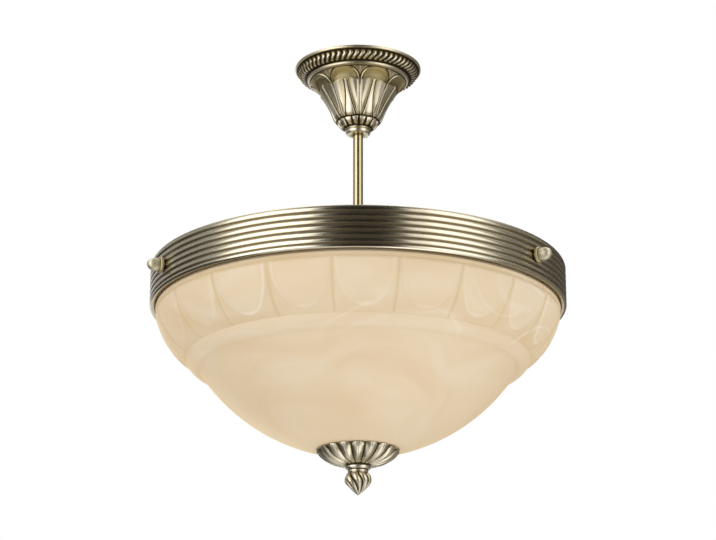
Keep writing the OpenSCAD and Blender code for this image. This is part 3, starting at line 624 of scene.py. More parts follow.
WALL_SHIFT = np.array([-CANOPY_WALL, CANOPY_WALL * 0.5])


def rope_strands(azimuth, r, z):
    """How far along one strand and across it: 1 on a strand's back, 0 in the groove between two."""
    turn = np.degrees(np.arctan2(z - ROPE_C[1], r - ROPE_C[0]))
    across = np.clip(-turn / 90, 0, 1)
    back = np.abs(np.sin(azimuth * ROPE_STRANDS / 2 + math.pi * ROPE_LEAN * across))
    return back, smooth(across * 6) * smooth((1 - across) * 6)


def rope_relief(azimuth, r, z):
    back, fade = rope_strands(azimuth, r, z)
    return -ROPE_DEPTH * (1 - back) * (0.15 + 0.85 * fade)


def rope_patina(azimuth, r, z):
    back = rope_strands(azimuth, r, z)[0]
    return 0.04 + 0.96 * smooth((0.93 - back) / 0.5)


def petal_places(azimuth, r, z):
    """Distance in from a petal's outline in millimetres, the place across it from 0 at its middle to 1
    at the rib between two petals, and half its width in millimetres. The outline is an arch at the top
    and follows the rib below."""
    across = 2 * np.abs(cell(azimuth - PETAL_START, PETALS))
    half = math.pi / PETALS * r
    up = np.clip((z - ARCH_LOW) / (ARCH_TOP - ARCH_LOW), 0, 1)
    left = 1 - across**ARCH_POWER - up**ARCH_POWER
    slope = ARCH_POWER * np.hypot(across**(ARCH_POWER - 1) / half, up**(ARCH_POWER - 1) / ARCH_RUN)
    return np.clip(left / np.maximum(slope, 0.01), -12, 30), across, half


def petal_parts(azimuth, r, z):
    """Distances in millimetres and shares from 0 to 1 that shape a petal at each point: a bar along its
    outline, a hollow cove at the top, and below that two flutes beside a wedge that widens downwards."""
    inside, across, half = petal_places(azimuth, r, z)
    down = np.clip((WEDGE_TOP - z) / (WEDGE_TOP - FLUTE_LOW), 0, 1)
    from_wedge = (across - WEDGE_NECK - WEDGE_FLARE * down**2.2) * half
    bar_w = (BAR_W + BAR_WIDENS * smooth(across)) * (1 - BAR_NARROWS * down)
    return {
        "inside": inside,
        "across": across,
        "from_wedge": from_wedge,
        "from_rib": (1 - across) * half,
        "bar": bump((inside - 0.3 - bar_w / 2) / (bar_w * 0.62)) * smooth(inside / 0.5),
        "field": smooth((inside - bar_w - 0.2) / 1.2),
        "wedge": smooth(0.5 - from_wedge / 0.8) * smooth((WEDGE_TOP + 0.6 - z) / 1.6),
        "beside": smooth((WEDGE_TOP - z) / 3),
        "below_cove": smooth((COVE_LOW + 0.4 + 1.8 * (1 - across**2) - z) / 2.2),
        "cove_down": np.clip((COVE_TOP - z) / (COVE_TOP - COVE_LOW), 0, 1),
        "ribbed": 1 - 0.7 * smooth((ARCH_LOW - z) / 6),
    }


def flute_relief(azimuth, r, z):
    part = petal_parts(azimuth, r, z)
    inside, down, from_wedge = part["inside"], part["cove_down"], part["from_wedge"]
    cove = -COVE_DEPTH * down * (1 - down) * smooth((inside - 1.2) / 8) * (1 - part["below_cove"])
    scallop = part["field"] * part["below_cove"] * (0.1 - 0.55 * bump((from_wedge - 3.4) / 4.0))
    crown = np.clip(1 - np.clip(part["across"] / 0.5, 0, 1)**2, 0, 1)
    wedge = part["wedge"] * (WEDGE_H + (1 - WEDGE_H) * crown)
    gap = -GAP_DEPTH * bump((from_wedge - 0.75) / 0.9) * part["beside"] * part["field"]
    outline = -OUTLINE_DEPTH * bump(inside / 0.9) * part["ribbed"]
    leaf = 0.45 * smooth((-inside - 0.7) / 1.0) - 0.3 * bump(part["from_rib"] / 0.9) * smooth(-inside)
    return BAR_H * part["bar"] - 0.35 + cove + scallop + wedge + gap + outline + leaf


# Dark tarnish in the grooves round each petal, beside each wedge and along each rib, with painted shade:
# each cove is golden and painted darker towards its bottom, and a soft painted shade lies in each flute's
# hollow.
def flute_patina_and_shade(azimuth, r, z):
    part = petal_parts(azimuth, r, z)
    inside, down, from_wedge = part["inside"], part["cove_down"], part["from_wedge"]
    outline = 0.9 * bump(inside / 1.2) * part["ribbed"]
    vein = 0.25 * bump(part["from_rib"] / 0.8) * smooth(-inside)
    gap = 0.75 * bump((from_wedge - 0.75) / 0.85) * part["beside"] * part["field"]
    # Painted shade: the cove turns golden and darker towards its bottom.
    cove = (1 - part["below_cove"]) * smooth((inside - 0.8) / 1.2) * (0.14 + 0.3 * down + 0.4 * down**5)
    # Painted shade in the hollow of each flute, beside the wedge.
    flute_hollow_shade = 0.16 * part["below_cove"] * smooth(-np.abs(from_wedge - 3.0) / 2.5 + 1.5) * part["field"]
    low = 0.85 * smooth((FLUTE_LOW + 0.7 - z) / 0.9)
    high = 0.8 * smooth((z - COVE_TOP + 0.5) / 0.7)
    return np.clip(0.10 + outline + vein + gap + cove + flute_hollow_shade + low + high, 0, 1)


def gadroon_back(azimuth):
    """1 on a gadroon's back and 0 in the gap between two."""
    return np.abs(np.sin((azimuth - PETAL_START) * GADROONS / 2))


def gadroon_shape(azimuth, z):
    """Distance in from a gadroon's edge, as a share: each is round at the top and narrows downwards."""
    down = np.clip((CANOPY_FOOT + 7.3 - z) / 6.6, 0, 1)
    narrow = 0.16 + 0.5 * down**1.3
    return gadroon_back(azimuth) - narrow


def gadroon_relief(azimuth, r, z):
    fade = smooth((CANOPY_FOOT + 7.6 - z) / 1.0) * smooth((z - CANOPY_FOOT - 0.3) / 1.2)
    return fade * (GADROON_H * smooth((gadroon_shape(azimuth, z) + 0.12) / 0.6) - GADROON_SINK)


def gadroon_patina(azimuth, r, z):
    fade = smooth((CANOPY_FOOT + 8 - z) / 0.8)
    low = 0.85 * smooth((CANOPY_FOOT + 1.6 - z) / 1.6)
    return np.clip(0.03 + fade * 0.97 * smooth((0.14 - gadroon_shape(azimuth, z)) / 0.22) + low, 0, 1)


def pressed(relief, shift):
    """The relief of the inside skin of pressed sheet, which lies at that shift from the outside skin."""
    return lambda azimuth, r, z: -relief(azimuth, r - shift[0], z - shift[1])


def make_canopy():
    bell = curve(BELL_TOP, BELL_TOP + [-10.6, -10.2], BELL_LOW + [5.3, 14.5], BELL_LOW, 100)
    upper_foot = curve(BELL_LOW, BELL_LOW + [-0.8, -2.6], BELL_LOW + [-2.6, -4.8],
                       BELL_LOW + [-4.4, -5.6], 10)
    lower_foot = curve(BELL_LOW + [-4.8, -6.2], BELL_LOW + [-5.2, -9.2],
                       [FOOT_R + 2.6, CANOPY_FOOT + 0.6], [FOOT_R, CANOPY_FOOT], 26)
    bell = np.concatenate([bell, upper_foot[1:]])
    inner_bell = (bell + WALL_SHIFT)[::3][::-1]
    inner_foot = (lower_foot + WALL_SHIFT)[::4][::-1]
    foot, floor_z = CANOPY_FOOT, CANOPY_FOOT + CANOPY_WALL
    sections = [
        (line([CANOPY_R - CANOPY_WALL, 0], [CANOPY_R - 0.2, 0]), 0.3),
        (line([CANOPY_R, -0.3], [CANOPY_R, -1.9]), 0.2),
        (arc([CANOPY_R - 0.7, -1.9], 0.7, 0, -90, 5), 0.2),
        (line([CANOPY_R - 1.6, -2.7], [CANOPY_R - 2.5, -3.4]), 0.9),
        (arc(ROPE_C, ROPE_R, -14, -86, 30), rope_relief, rope_patina),
        (line([ROPE_C[0] - 1.2, -11.3], [BEAD_C[0] + 1.8, -12.2]), 0.95),
        (arc(BEAD_C, BEAD_R, 25, -115, 12), 0.14),
        (line([BELL_TOP[0] + 0.6, BELL_TOP[1] + 0.4], [BELL_TOP[0] + 0.1, BELL_TOP[1]]), 0.8),
        (bell[1:], flute_relief, flute_patina_and_shade),
        (lower_foot, gadroon_relief, gadroon_patina),
        (line([FOOT_R, foot], [ROD_R + CANOPY_GAP, foot]), 0.5),
        (line([ROD_R + CANOPY_GAP, floor_z], [FOOT_R, floor_z]), 0.7),
        (inner_foot, pressed(gadroon_relief, WALL_SHIFT), 0.6),
        (inner_bell, pressed(flute_relief, WALL_SHIFT), 0.6),
        (line([ROPE_C[0] - 1.6, ROPE_C[1] - 3.2], [CANOPY_R - 3.7, -2.8]), 0.6),
    ]
    piece = turned("canopy_shell", sections, sides=720)
    stand_for(piece, "canopy", "canopy", cast_brass)


def make_collar():
    low, top = COLLAR_LOW, CANOPY_FOOT
    edge = 2.6
    sections = [
        (line([ROD_R + THREAD_GAP, top], [COLLAR_R - 1.2, top]), 0.5),
        (arc([COLLAR_R - 0.5, top - 0.5], 0.9, 90, -40, 8), 0.12),
        (line([COLLAR_R - 0.1, top - 1.3], [COLLAR_R, top - 1.8]), 0.6),
        (arc([COLLAR_R - edge, low + edge], edge, 0, -90, 12), 0.05),
        (line([ROD_R + 0.8, low], [ROD_R + THREAD_GAP, low + 0.5]), 0.4),
    ]
    piece = turned("collar_cup", sections, sides=160)
    stand_for(piece, "canopy_collar", "canopy", cast_brass)


# Pan

REEDS = 6
REED_H = 6.0
BEAD_H = 4.0
REED_DEPTH = 1.6
PAN_T = 1.0
GROOVE_R = PAN_R - REED_DEPTH
INNER_R = GROOVE_R - PAN_T
LIP_R = INNER_R - 3
LIP_T = 1.4
CROWN_R = 34.0
CROWN_STEP = 4
PLATE_R = INNER_R - 3
PLATE_PATINA = 0.46


def reed(z, height, count):
    """Outline of one round reed, from its upper groove at z down to the next."""
    t = np.linspace(0, 1, count)
    return np.c_[GROOVE_R + REED_DEPTH * np.sin(math.pi * t)**0.62, z - height * t]


def groove_patina(azimuth, r, z):
    return 0.04 + 0.96 * smooth((GROOVE_R + REED_DEPTH - r) / (REED_DEPTH * 0.5)) + 0 * azimuth


def bead_patina(azimuth, r, z):
    return groove_patina(azimuth, r, z) * smooth((z - BAND_LOW - BEAD_H * 0.35) / 1.0)


def make_pan():
    step_foot = [CROWN_R + CROWN_STEP, CROWN - CROWN_STEP]
    plate = curve(step_foot, [CROWN_R + 50, CROWN - 4.2], [PLATE_R - 50, BAND_TOP + 5],
                  [PLATE_R, BAND_TOP + 0.6], 28)
    crown = curve([CROWN_R, CROWN], [CROWN_R + 2.4, CROWN], [CROWN_R + 2, CROWN - CROWN_STEP], step_foot, 8)
    top = np.concatenate([crown[:-1], plate])
    sections = [
        (line([ROD_R + PAN_GAP, CROWN], [CROWN_R - CROWN_STEP, CROWN], step=10), PLATE_PATINA),
        (top, PLATE_PATINA),
        (arc([GROOVE_R - 1.2, BAND_TOP - 0.6], 1.2, 90, 30, 5), 0.3),
    ]
    for i in range(REEDS):
        sections.append((reed(BAND_TOP - REED_H * i, REED_H, 15)[1 if i == 0 else 0:], groove_patina))
    sections += [
        (reed(BAND_TOP - REED_H * REEDS, BEAD_H, 11)[:-1], bead_patina),
        (arc([GROOVE_R - 0.4, BAND_LOW + 0.5], 0.5, -20, -90, 4), 0.25),
        (line([LIP_R + 0.4, BAND_LOW], [LIP_R, BAND_LOW + 0.4]), 0.6),
        (line([LIP_R, BAND_LOW + LIP_T], [INNER_R, BAND_LOW + LIP_T]), 0.4),
        (line([INNER_R, BAND_LOW + LIP_T + 1], [INNER_R, BAND_TOP - 2 * PAN_T]), 0.4),
        ((top - [0, PAN_T])[::-1], 0.4),
        (line([CROWN_R - CROWN_STEP, CROWN - PAN_T], [ROD_R + PAN_GAP, CROWN - PAN_T]), 0.4),
    ]
    piece = turned("pan_shell", sections, sides=384)
    drill_band(piece)
    stand_for(piece, "pan", "fixture", spun_brass)


def drill_band(piece):
    """Three holes through the band, with a boolean for each thumb screw."""
    for name, azimuth in THUMBS.items():
        start, end, hole_r = INNER_R - 6, PAN_R + 5, THUMB_R + HOLE_GAP
        outline = line([0, start], [hole_r, start], [hole_r, end], [0, end])
        drill = turned("drill_" + name, [(outline, 0.5)], sides=40, loop=False)
        along_x(drill, azimuth, THUMB_Z)
        cut = piece.modifiers.new("hole_" + name, "BOOLEAN")
        cut.object = drill
        cut.operation = "DIFFERENCE"
        cut.solver = "EXACT"
        bpy.context.view_layer.objects.active = piece
        bpy.ops.object.modifier_apply(modifier=cut.name)
        bpy.data.objects.remove(drill)


KNOB_FOOT = 3.6
NOSE_R = 6.2
NOSE_LEN = 11.4


def make_knob(name):
    """A bullet nose on a round foot."""
    start = PAN_R + KNOB_GAP
    foot_r = (KNOB_HIGH - KNOB_LOW) / 2 - INSET
    edge = KNOB_FOOT / 2
    nose = start + KNOB_FOOT
    turn = np.radians(np.linspace(0, 90, 20))
    bullet = np.c_[NOSE_R * np.cos(turn)**0.9, nose + NOSE_LEN * (0.3 + 0.7 * np.sin(turn))]
    sections = [
        (line([THUMB_R, start], [foot_r - edge, start]), 0.5),
        (arc([foot_r - edge, start + edge], edge, -80, 70, 16), 0.3),
        (line([NOSE_R + 0.5, nose - 0.2], [NOSE_R - 0.1, nose]), 0.7),
        (line([NOSE_R - 0.1, nose + 0.8], [NOSE_R, nose + 1.4]), 0.25),
        (bullet, 0.03),
        (line([0, nose + NOSE_LEN], [0, nose + 4], step=2)[1:], 0.3),
        (line([THUMB_R, nose + 4], [THUMB_R, start + 0.2]), 0.3),
    ]
    piece = turned("knob_" + name, sections, sides=96)
    along_x(piece, THUMBS[name], THUMB_Z)
    stand_for(piece, "thumb_knob_" + name, "thumb_screw_" + name, knob_brass)


# Glass bowl

GLASS_T = 4.0
SHOULDER_R = PAN_R - 5.8
SHOULDER_TOP = BAND_LOW - 0.8
RIDGE_TOP = np.array([PAN_R - 36, BAND_LOW - 50])
RIDGE_LOW = RIDGE_TOP + [-12, -10.56]
DOME_R = RIDGE_LOW[0] - 2.4
DOME_TOP_Z = RIDGE_LOW[1] - 1.6
FLAT_R = 16.0
BAYS = 20
BAY_START = math.radians(-90 + 11)
PANEL_TOP = BAND_LOW - 6.5
PANEL_LOW = BAND_LOW - 46.0
PANEL_H = 1.15
PANEL_EDGE_H = 0.55
RIB_H = 1.0
BORDER_DEPTH = 0.6
RIDGE_H = 2.5
# Tone on the shoulder and ridge: painted highlights on the ridge and on each panel's raised edge, each
# panel a little paler, painted shade along each rib, in the border and warm under the band, and a slight
# golden tone all over.
RIDGE_HIGHLIGHT = 0.13
PANEL_PALE = 0.18
PANEL_EDGE_HIGHLIGHT = 0.38
RIB_SHADE = 0.34
BORDER_SHADE = 0.22
UNDER_BAND_SHADE = 0.11
ALL_GOLD = 0.06


def dome_ball():
    """Radius and centre height of the ball that the dome is part of."""
    height = DOME_TOP_Z - BOWL_LOW
    rise = (DOME_R**2 - FLAT_R**2 + height**2) / (2 * height)
    return math.hypot(rise, FLAT_R), BOWL_LOW + rise


BALL_R, BALL_Z = dome_ball()


def dome(radius, low_r, high_r, count):
    """Points on that ball, inwards from one distance from the axis to another."""
    a = np.linspace(math.asin(high_r / radius), math.asin(low_r / radius), count)
    return np.c_[radius * np.sin(a), BALL_Z - radius * np.cos(a)]


def panel_places(azimuth, r, z):
    """Signed distance in from the edge of a tongue-shaped panel, and the distance from the bay's rib."""
    across = 2 * np.abs(cell(azimuth - BAY_START, BAYS))
    half = math.pi / BAYS * r
    down = np.clip((PANEL_TOP - z) / (PANEL_TOP - PANEL_LOW), 0, 1.4)
    width = 0.90 * np.clip(1 - down**2.6, 0, 1)**0.5
    inside = np.minimum((width - across) * half, (1 - down) * 30)
    return inside, (1 - across) * half


def shoulder_relief(azimuth, r, z):
    inside, from_rib = panel_places(azimuth, r, z)
    under_top = smooth((PANEL_TOP + 1 - z) / 3)
    above_low = smooth((z - PANEL_LOW + 8) / 6)
    panel = PANEL_H * smooth(inside / 4.2) * under_top
    edge = PANEL_EDGE_H * bump((inside - 0.6) / 1.7) * under_top
    rib = RIB_H * bump(from_rib / 1.5) * under_top * above_low
    border = -BORDER_DEPTH * bump((z - PANEL_TOP - 1.4) / 1.5)
    return (panel + edge + rib + border) * smooth((z - PANEL_LOW + 5) / 4)


def shoulder_light_and_tint(azimuth, r, z):
    """How much paler the glass is made, above 0, or how much more golden, below 0. Each panel is a little
    paler, with a painted highlight on its raised edge; painted shade makes it golden along each rib and
    round the panels, and warm under the band."""
    inside, from_rib = panel_places(azimuth, r, z)
    under_top = smooth((PANEL_TOP + 1 - z) / 2)
    above_low = smooth((z - PANEL_LOW + 8) / 6)
    # Painted light: edge is a painted highlight; rib and border are painted shade, and top is painted warm
    # shade under the band.
    panel = PANEL_PALE * smooth(inside / 5) * under_top
    edge = PANEL_EDGE_HIGHLIGHT * bump((inside - 1.0) / 2.6) * under_top
    rib = -RIB_SHADE * bump((from_rib - 0.2) / 1.5) * under_top * above_low
    border = -BORDER_SHADE * bump((z - PANEL_TOP - 1) / 1.6)
    top = -UNDER_BAND_SHADE * smooth((z - PANEL_TOP + 3) / 6)
    return panel + edge + rib + border + top - ALL_GOLD


def ridge():
    """The round ridge between the shoulder and the dome."""
    length = np.linalg.norm(RIDGE_LOW - RIDGE_TOP)
    along = (RIDGE_LOW - RIDGE_TOP) / length
    out = np.array([-along[1], along[0]])
    t = np.radians(np.linspace(180, 0, 25))[:, None]
    return (RIDGE_TOP + RIDGE_LOW) / 2 + length / 2 * np.cos(t) * along + RIDGE_H * np.sin(t)**1.5 * out


def make_bowl():
    shoulder = curve([SHOULDER_R, SHOULDER_TOP - 1.2], [SHOULDER_R - 2.6, BAND_LOW - 13],
                     [PAN_R - 15, BAND_LOW - 37], RIDGE_TOP, 84)
    inside = np.concatenate([
        curve([BOWL_R - GLASS_T, BAND_LOW + 1.4], [BOWL_R - 5.5 - GLASS_T, BAND_LOW - 18.6],
              [PAN_R - 15 - GLASS_T, BAND_LOW - 34.6], RIDGE_TOP + [-GLASS_T, 1.4], 24),
        dome(BALL_R - GLASS_T, FLAT_R, DOME_R - GLASS_T * 0.7, 40)])
    hole_r = STUD_R + STUD_GAP
    floor_z = BOWL_LOW + GLASS_T
    sections = [
        (line([BOWL_R - GLASS_T, BOWL_TOP - 1], [BOWL_R - GLASS_T + 1, BOWL_TOP],
              [BOWL_R - 1, BOWL_TOP], [BOWL_R, BOWL_TOP - 1]), 0),
        (line([BOWL_R, BOWL_TOP - 2], [BOWL_R, BAND_LOW], step=5), 0),
        (line([BOWL_R + 0.5, SHOULDER_TOP], [SHOULDER_R - 1.2, SHOULDER_TOP],
              [SHOULDER_R - 0.3, SHOULDER_TOP - 0.5]), 0),
        (shoulder, shoulder_relief, shoulder_light_and_tint),
        # The ridge carries a painted highlight.
        (ridge(), RIDGE_HIGHLIGHT),
        (dome(BALL_R, FLAT_R, DOME_R, 70), 0),
        (line([hole_r, BOWL_LOW], [hole_r, floor_z], [FLAT_R - 0.5, floor_z]), 0),
        (inside[::-1], 0),
    ]
    piece = turned("bowl_glass", sections, sides=960)
    stand_for(piece, "glass_bowl", "bowl", glass)


# Finial

LEAVES = 18
LEAF_H = 2.3
LEAF_SINK = 2.0
LEAF_TIP_H = 5
LEAF_TIP_CUT = 2.3
CUP_T = 1.4
STUD_BORE = STUD_R + THREAD_GAP
BUD_RIBS = 8
BUD_TWIST = math.radians(210)
BUD_DEPTH = 2.4
NECK_R = 10.0
NECK_H = 3.2


def leaf_back(azimuth):
    """1 on a leaf's back and 0 on the line between two."""
    return np.abs(np.sin(azimuth * LEAVES / 2))


def cup_relief(azimuth, r, z):
    grow = 0.15 + 0.85 * smooth((r - RING_R) / 9)
    vein = bump((1 - leaf_back(azimuth)) / 0.012) * smooth((r - RING_R - 4) / 6)
    return grow * (LEAF_H * leaf_back(azimuth)**0.85 - LEAF_SINK) - 0.2 * vein


def cup_patina(azimuth, r, z):
    gap = smooth((0.42 - leaf_back(azimuth)) / 0.34)
    core = smooth((RING_R + 3 - r) / 4)
    return np.clip(0.12 + 0.78 * gap + 0.7 * core, 0, 1)


def cup_warp(azimuth, r, z):
    """Rounds off each leaf's tip at the rim."""
    near_rim = smooth((z - CUP_TOP + LEAF_TIP_H) / LEAF_TIP_H)
    return r + 0 * azimuth, z - LEAF_TIP_CUT * near_rim * (1 - leaf_back(azimuth)**0.5)


def make_cup():
    hub_r = RING_R + 0.6
    height = CUP_TOP - CUP_LOW
    belly_r, brim_r, brim_z = CUP_R * 0.72, CUP_R * 0.95, CUP_TOP - height * 0.38
    outer = curve([hub_r, CUP_LOW + 0.1], [belly_r, CUP_LOW + 1], [brim_r, brim_z],
                  [CUP_R - 0.3, CUP_TOP], 44)
    inner = curve([hub_r, CUP_LOW + CUP_T], [belly_r - CUP_T * 0.6, CUP_LOW + 1 + CUP_T],
                  [brim_r - CUP_T, brim_z + CUP_T * 0.4], [CUP_R - CUP_T, CUP_TOP], 26)
    sections = [
        (line([STUD_BORE, CUP_LOW], [hub_r - 1, CUP_LOW]), 0.8),
        (outer, cup_relief, cup_patina),
        (inner[::-1], pressed(cup_relief, (-CUP_T * 0.6, CUP_T * 0.8)), 0.5),
        (line([STUD_BORE + 1, CUP_LOW + CUP_T], [STUD_BORE, CUP_LOW + CUP_T]), 0.5),
    ]
    piece = turned("leaf_cup", sections, sides=720, warp=cup_warp)
    stand_for(piece, "finial_cup", "finial_cup", cast_brass)


def ring_patina(azimuth, r, z):
    return 0.03 + 0.5 * smooth((RING_R - 1.2 - r) / 1.5) + 0 * azimuth


def make_ring():
    low, top = RING_LOW, RING_TOP
    half = (top - low) / 2
    sections = [
        (line([STUD_BORE, top], [RING_R - half, top]), 0.6),
        (arc([RING_R - half, low + half], half, 80, -80, 18), ring_patina),
        (line([RING_R - half, low], [STUD_BORE, low]), 0.7),
    ]
    piece = turned("finial_bead", sections, sides=160)
    stand_for(piece, "finial_ring", "finial_cup", cast_brass)


def bud_back(azimuth, z):
    """1 on a rib's back and 0 in the groove between two."""
    top = BUD_TOP - NECK_H
    down = np.clip((top - z) / (top - BUD_LOW), 0, 1)
    return np.abs(np.sin(azimuth * BUD_RIBS / 2 - BUD_TWIST * down))


def bud_relief(azimuth, r, z):
    fade = smooth((r - 1.0) / 7) * smooth((BUD_TOP - 3.4 - z) / 1.6)
    return fade * BUD_DEPTH * (bud_back(azimuth, z)**0.8 - 0.95)


def bud_patina(azimuth, r, z):
    gap = smooth((0.62 - bud_back(azimuth, z)) / 0.55)
    return np.clip(0.12 + 0.85 * gap, 0, 1)


def make_bud():
    top, tip = BUD_TOP, BUD_LOW
    wide = top - NECK_H - 7
    thread_end = STUD_LOW - 1
    body = np.concatenate([
        curve([NECK_R - 0.8, top - NECK_H], [BUD_R, top - NECK_H - 1], [BUD_R + 0.4, wide + 1],
              [BUD_R - 0.5, wide - 1.6], 22),
        curve([BUD_R - 0.8, wide - 2.4], [BUD_R * 0.72, wide - 7], [BUD_R * 0.34, tip + 4.2],
              [0, tip], 34)])
    sections = [
        (line([STUD_BORE, top], [NECK_R - NECK_H / 2, top]), 0.6),
        (arc([NECK_R - NECK_H / 2, top - NECK_H / 2], NECK_H / 2, 80, -80, 14), 0.04),
        (body, bud_relief, bud_patina),
        (line([0, tip + 2], [0, thread_end], step=2), 0.3),
        (line([STUD_BORE, thread_end], [STUD_BORE, top - 0.2]), 0.3),
    ]
    piece = turned("spiral_bud", sections, sides=360)
    stand_for(piece, "finial_bud", "finial_bud", cast_brass)


# Bulb caps, with their rolled thread

CAP_START = 53.0
CAP_END = 78.0
CAP_R = 13.2
CAP_PITCH = 3.6
CAP_THREAD_H = 0.55


def cap_thread(azimuth, r, x):
    fade = smooth((x - CAP_START - 5) / 2) * smooth((CAP_END - 3 - x) / 2)
    return fade * (CAP_THREAD_H * np.sin(2 * math.pi * x / CAP_PITCH - azimuth) - CAP_THREAD_H)


def make_bulb_cap(name):
    start, end = CAP_START, CAP_END
    sections = [
        (line([0, start], [8, start], step=2), 0.2),
        (line([8, start], [CAP_R - 1, start + 3.5], [CAP_R - 0.2, start + 5]), 0.2),
        (line([CAP_R, start + 5.4], [CAP_R, end], step=0.3), cap_thread, 0.1),
        (line([CAP_R - 1, end], [CAP_R - 1, start + 6], step=5), 0.3),
        (line([CAP_R - 2, start + 5.4], [0, start + 4]), 0.3),
    ]
    piece = turned("cap_" + name, sections, sides=72, loop=False)
    along_x(piece, LAMPS[name], middle_of("bulb_cap_" + name)[2])
    stand_for(piece, "bulb_cap_" + name, "bulb_" + name, nickel)


# Cores to the terminal block, each a piece of its own

CORE_COLOURS = {"live": (0.13, 0.055, 0.02), "neutral": (0.03, 0.10, 0.42), "earth": (0.08, 0.28, 0.05)}
MERGE = 1e-6


def islands(mesh):
    """Groups of joined vertices, each in the mesh's own order."""
    mesh.verts.index_update()
    seen, groups = set(), []
    for first in mesh.verts:
        if first.index in seen:
            continue
        seen.add(first.index)
        waiting, group = [first], []
        while waiting:
            vert = waiting.pop()
            group.append(vert)
            for edge in vert.link_edges:
                other = edge.other_vert(vert)
                if other.index not in seen:
                    seen.add(other.index)
                    waiting.append(other)
        groups.append(sorted(group, key=lambda vert: vert.index))
    return groups


def make_cores():
    """The three cores in their node's own shape. The poles follow one another outwards along x."""
    mesh = bmesh.new()
    mesh.from_mesh(nodes["terminal_cores"].data)
    bmesh.ops.remove_doubles(mesh, verts=mesh.verts, dist=MERGE)
    groups = sorted(islands(mesh), key=lambda group: max(vert.co.x for vert in group))
    for (pole, colour), group in zip(CORE_COLOURS.items(), groups):
        place = {vert.index: number for number, vert in enumerate(group)}
        faces = [[place[vert.index] for vert in face.verts] for face in mesh.faces
                 if face.verts[0].index in place]
        piece = add_mesh("core_" + pole, np.array([vert.co for vert in group]) / MM, faces)
        material = plain_solid("core_" + pole, colour, 0.34, scale=300.0)
        stand_for(piece, "terminal_cores", "fixture", material)
    mesh.free()


make_canopy()
make_collar()
make_pan()
make_bowl()
make_cup()
make_ring()
make_bud()
for thumb in THUMBS:
    make_knob(thumb)
for lamp in LAMPS:
    make_bulb_cap(lamp)
make_cores()


# Studio: world, floor, softboxes, and toned cards that only reflections see

WORLD_LIGHT = 0.62
FLOOR_Z = -3.6
FLOOR_R = 40.0
FLOOR_SIDES = 64
FLOOR_TONE = (0.86, 0.86, 0.86, 1)
FLOOR_WHITE = 0.35
FLOOR_NEAR = 3.0
FLOOR_FAR = 12.0


def seen_rays(tree):
    """1 for rays that show the background: from the camera, in a reflection or through glass."""
    rays = add(tree, "ShaderNodeLightPath")
    either = reckon(tree, "MAXIMUM", (rays, "Is Camera Ray"), (rays, "Is Glossy Ray"))
    return reckon(tree, "MAXIMUM", (either, "Value"), (rays, "Is Transmission Ray"))


def make_world():
    world = bpy.data.worlds.new("studio")
    bpy.context.scene.world = world
    world.use_nodes = True
    tree = world.node_tree
    background = tree.nodes["Background"]
    background.inputs["Color"].default_value = (1, 1, 1, 1)
    level = spread(tree, seen_rays(tree), "Value", WORLD_LIGHT, 1.0)
    wire(tree, level, "Result", background, "Strength")


def studio_mesh(name, points, faces, material):
    """Part of the studio, made in metres."""
    mesh = bpy.data.meshes.new(name)
    mesh.from_pydata(points, [], faces)
    mesh.materials.append(material)
    piece = bpy.data.objects.new(name, mesh)
    bpy.context.scene.collection.objects.link(piece)
    return piece


def make_floor():
    """A wide disc far below. Rays that show the background see it partly white under the light, and all
    white further out, where it meets the world."""
    material, tree, shader = new_material("floor", {"Base Color": FLOOR_TONE, "Roughness": 0.8})
    out = add(tree, "ShaderNodeVectorMath", operation="LENGTH")
    feed(tree, own_place(tree), out, 0)
    fade = spread(tree, out, "Value", FLOOR_WHITE, 1.0, FLOOR_NEAR, FLOOR_FAR)
    share = reckon(tree, "MULTIPLY", (fade, "Result"), (seen_rays(tree), "Value"))
    blend = add(tree, "ShaderNodeMixShader")
    wire(tree, share, "Value", blend, "Fac")
    wire(tree, shader, "BSDF", blend, 1)
    wire(tree, add(tree, "ShaderNodeEmission"), "Emission", blend, 2)
    wire(tree, blend, "Shader", tree.nodes["Material Output"], "Surface")
    turn = np.arange(FLOOR_SIDES) * 2 * math.pi / FLOOR_SIDES
    points = [(FLOOR_R * math.cos(a), FLOOR_R * math.sin(a), FLOOR_Z) for a in turn]
    floor = studio_mesh("floor", points, [tuple(range(FLOOR_SIDES))], material)


def area_lamp(name, place, target, size, radiance):
    """A softbox whose face has that radiance, aimed at a point."""
    data = bpy.data.lights.new(name, "AREA")
    data.shape = "RECTANGLE"
    data.size, data.size_y = size
    data.energy = radiance * math.pi * size[0] * size[1]
    lamp = bpy.data.objects.new(name, data)
    lamp.location = place
    lamp.rotation_euler = (Vector(target) - Vector(place)).to_track_quat("-Z", "Y").to_euler()
    bpy.context.scene.collection.objects.link(lamp)


def reflection_card(name, start, end, near, far, tone):
    """A curved card round the light, between two directions in degrees from the front, to the right, and
    between two (radius, height) edges. It shows only in reflections on metal and glass."""
    steps = max(2, int(abs(end - start) / CARD_STEP))
    turn = np.radians(np.linspace(start, end, steps + 1))
    points = [(r * math.sin(a), -r * math.cos(a), z) for a in turn for r, z in (near, far)]
    faces = [(2 * i, 2 * i + 2, 2 * i + 3, 2 * i + 1) for i in range(steps)]
    surface = {"Base Color": (*tone, 1), "Roughness": 0.9, "Specular IOR Level": 0.0}
    card = studio_mesh(name, points, faces, new_material(name, surface)[0])
    card.visible_camera = False
    card.visible_diffuse = False
    card.visible_transmission = False
    card.visible_shadow = False


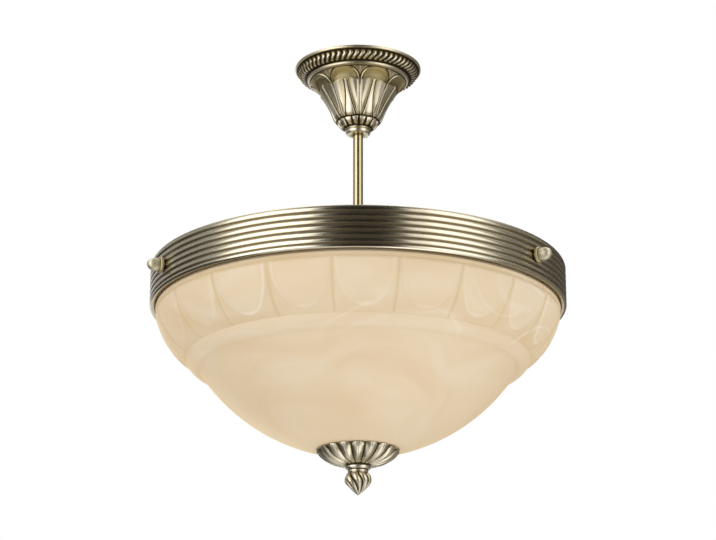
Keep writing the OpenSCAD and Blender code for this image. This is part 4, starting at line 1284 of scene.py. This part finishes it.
# Each softbox: name, place, target, size and radiance
SOFTBOXES = [
    ("lamp_left", (-1.95, -1.8, 0.0), (0, 0, 0.0), (2.3, 4.0), 1.3),
    ("lamp_right", (1.95, -1.85, 0.0), (0, 0, 0.0), (2.1, 4.0), 0.94),
    ("lamp_top", (0, -0.3, 2.0), (0, -0.3, 0), (3.6, 2.6), 1.4),
    ("lamp_low", (1.3, 0.2, -2.3), (0, 0, -0.4), (2.0, 2.4), 1.1),
]

# Degrees that each flat face of a card spans
CARD_STEP = 6

# Edges of the cards, as (radius, height) in metres
CARD_R = 3.0
CARD_LOW = -2.55
ROOF = 1.95
FOOT = (CARD_R, CARD_LOW)
WAIST = (CARD_R, -0.5)
SIDE_TOP = (CARD_R, 2.4)
WALL_TOP = (CARD_R, 5.0)
FRONT_BASE = (0.5, CARD_LOW)
SIDE_BASE = (1.2, CARD_LOW)
ROOF_MIDDLE = (0.02, ROOF)
ROOF_EDGE = (1.8, ROOF)
ROOF_REAR = (0.7, ROOF)
UMBER = (0.02, 0.016, 0.011)

# Each card: name, first and last direction, its two edges and its tone
CARDS = [
    ("card_front", -21, 20, FOOT, WALL_TOP, UMBER),
    ("card_front_edge", 20, 27, FOOT, WALL_TOP, (0.12, 0.11, 0.09)),
    ("card_front_side", 27, 38, FOOT, WALL_TOP, (0.32, 0.30, 0.27)),
    ("card_front_low", -21, 27, FRONT_BASE, FOOT, UMBER),
    ("card_front_high", -50, 56, ROOF_EDGE, WALL_TOP, UMBER),
    ("card_front_over", -50, 56, ROOF_MIDDLE, ROOF_EDGE, UMBER),
    ("card_over", 56, 310, ROOF_MIDDLE, ROOF_REAR, UMBER),
    ("card_left_low", -152, -78, SIDE_BASE, WAIST, (0.06, 0.06, 0.055)),
    ("card_right_low", 78, 170, SIDE_BASE, WAIST, (0.22, 0.21, 0.19)),
    ("card_left", -152, -78, WAIST, SIDE_TOP, (0.40, 0.40, 0.40)),
    ("card_right", 76, 118, WAIST, SIDE_TOP, (0.27, 0.26, 0.24)),
    ("card_right_rear", 118, 170, WAIST, SIDE_TOP, (0.13, 0.12, 0.11)),
]

make_world()
make_floor()
for softbox in SOFTBOXES:
    area_lamp(*softbox)
for card in CARDS:
    reflection_card(*card)

bpy.context.scene.view_settings.view_transform = "Standard"
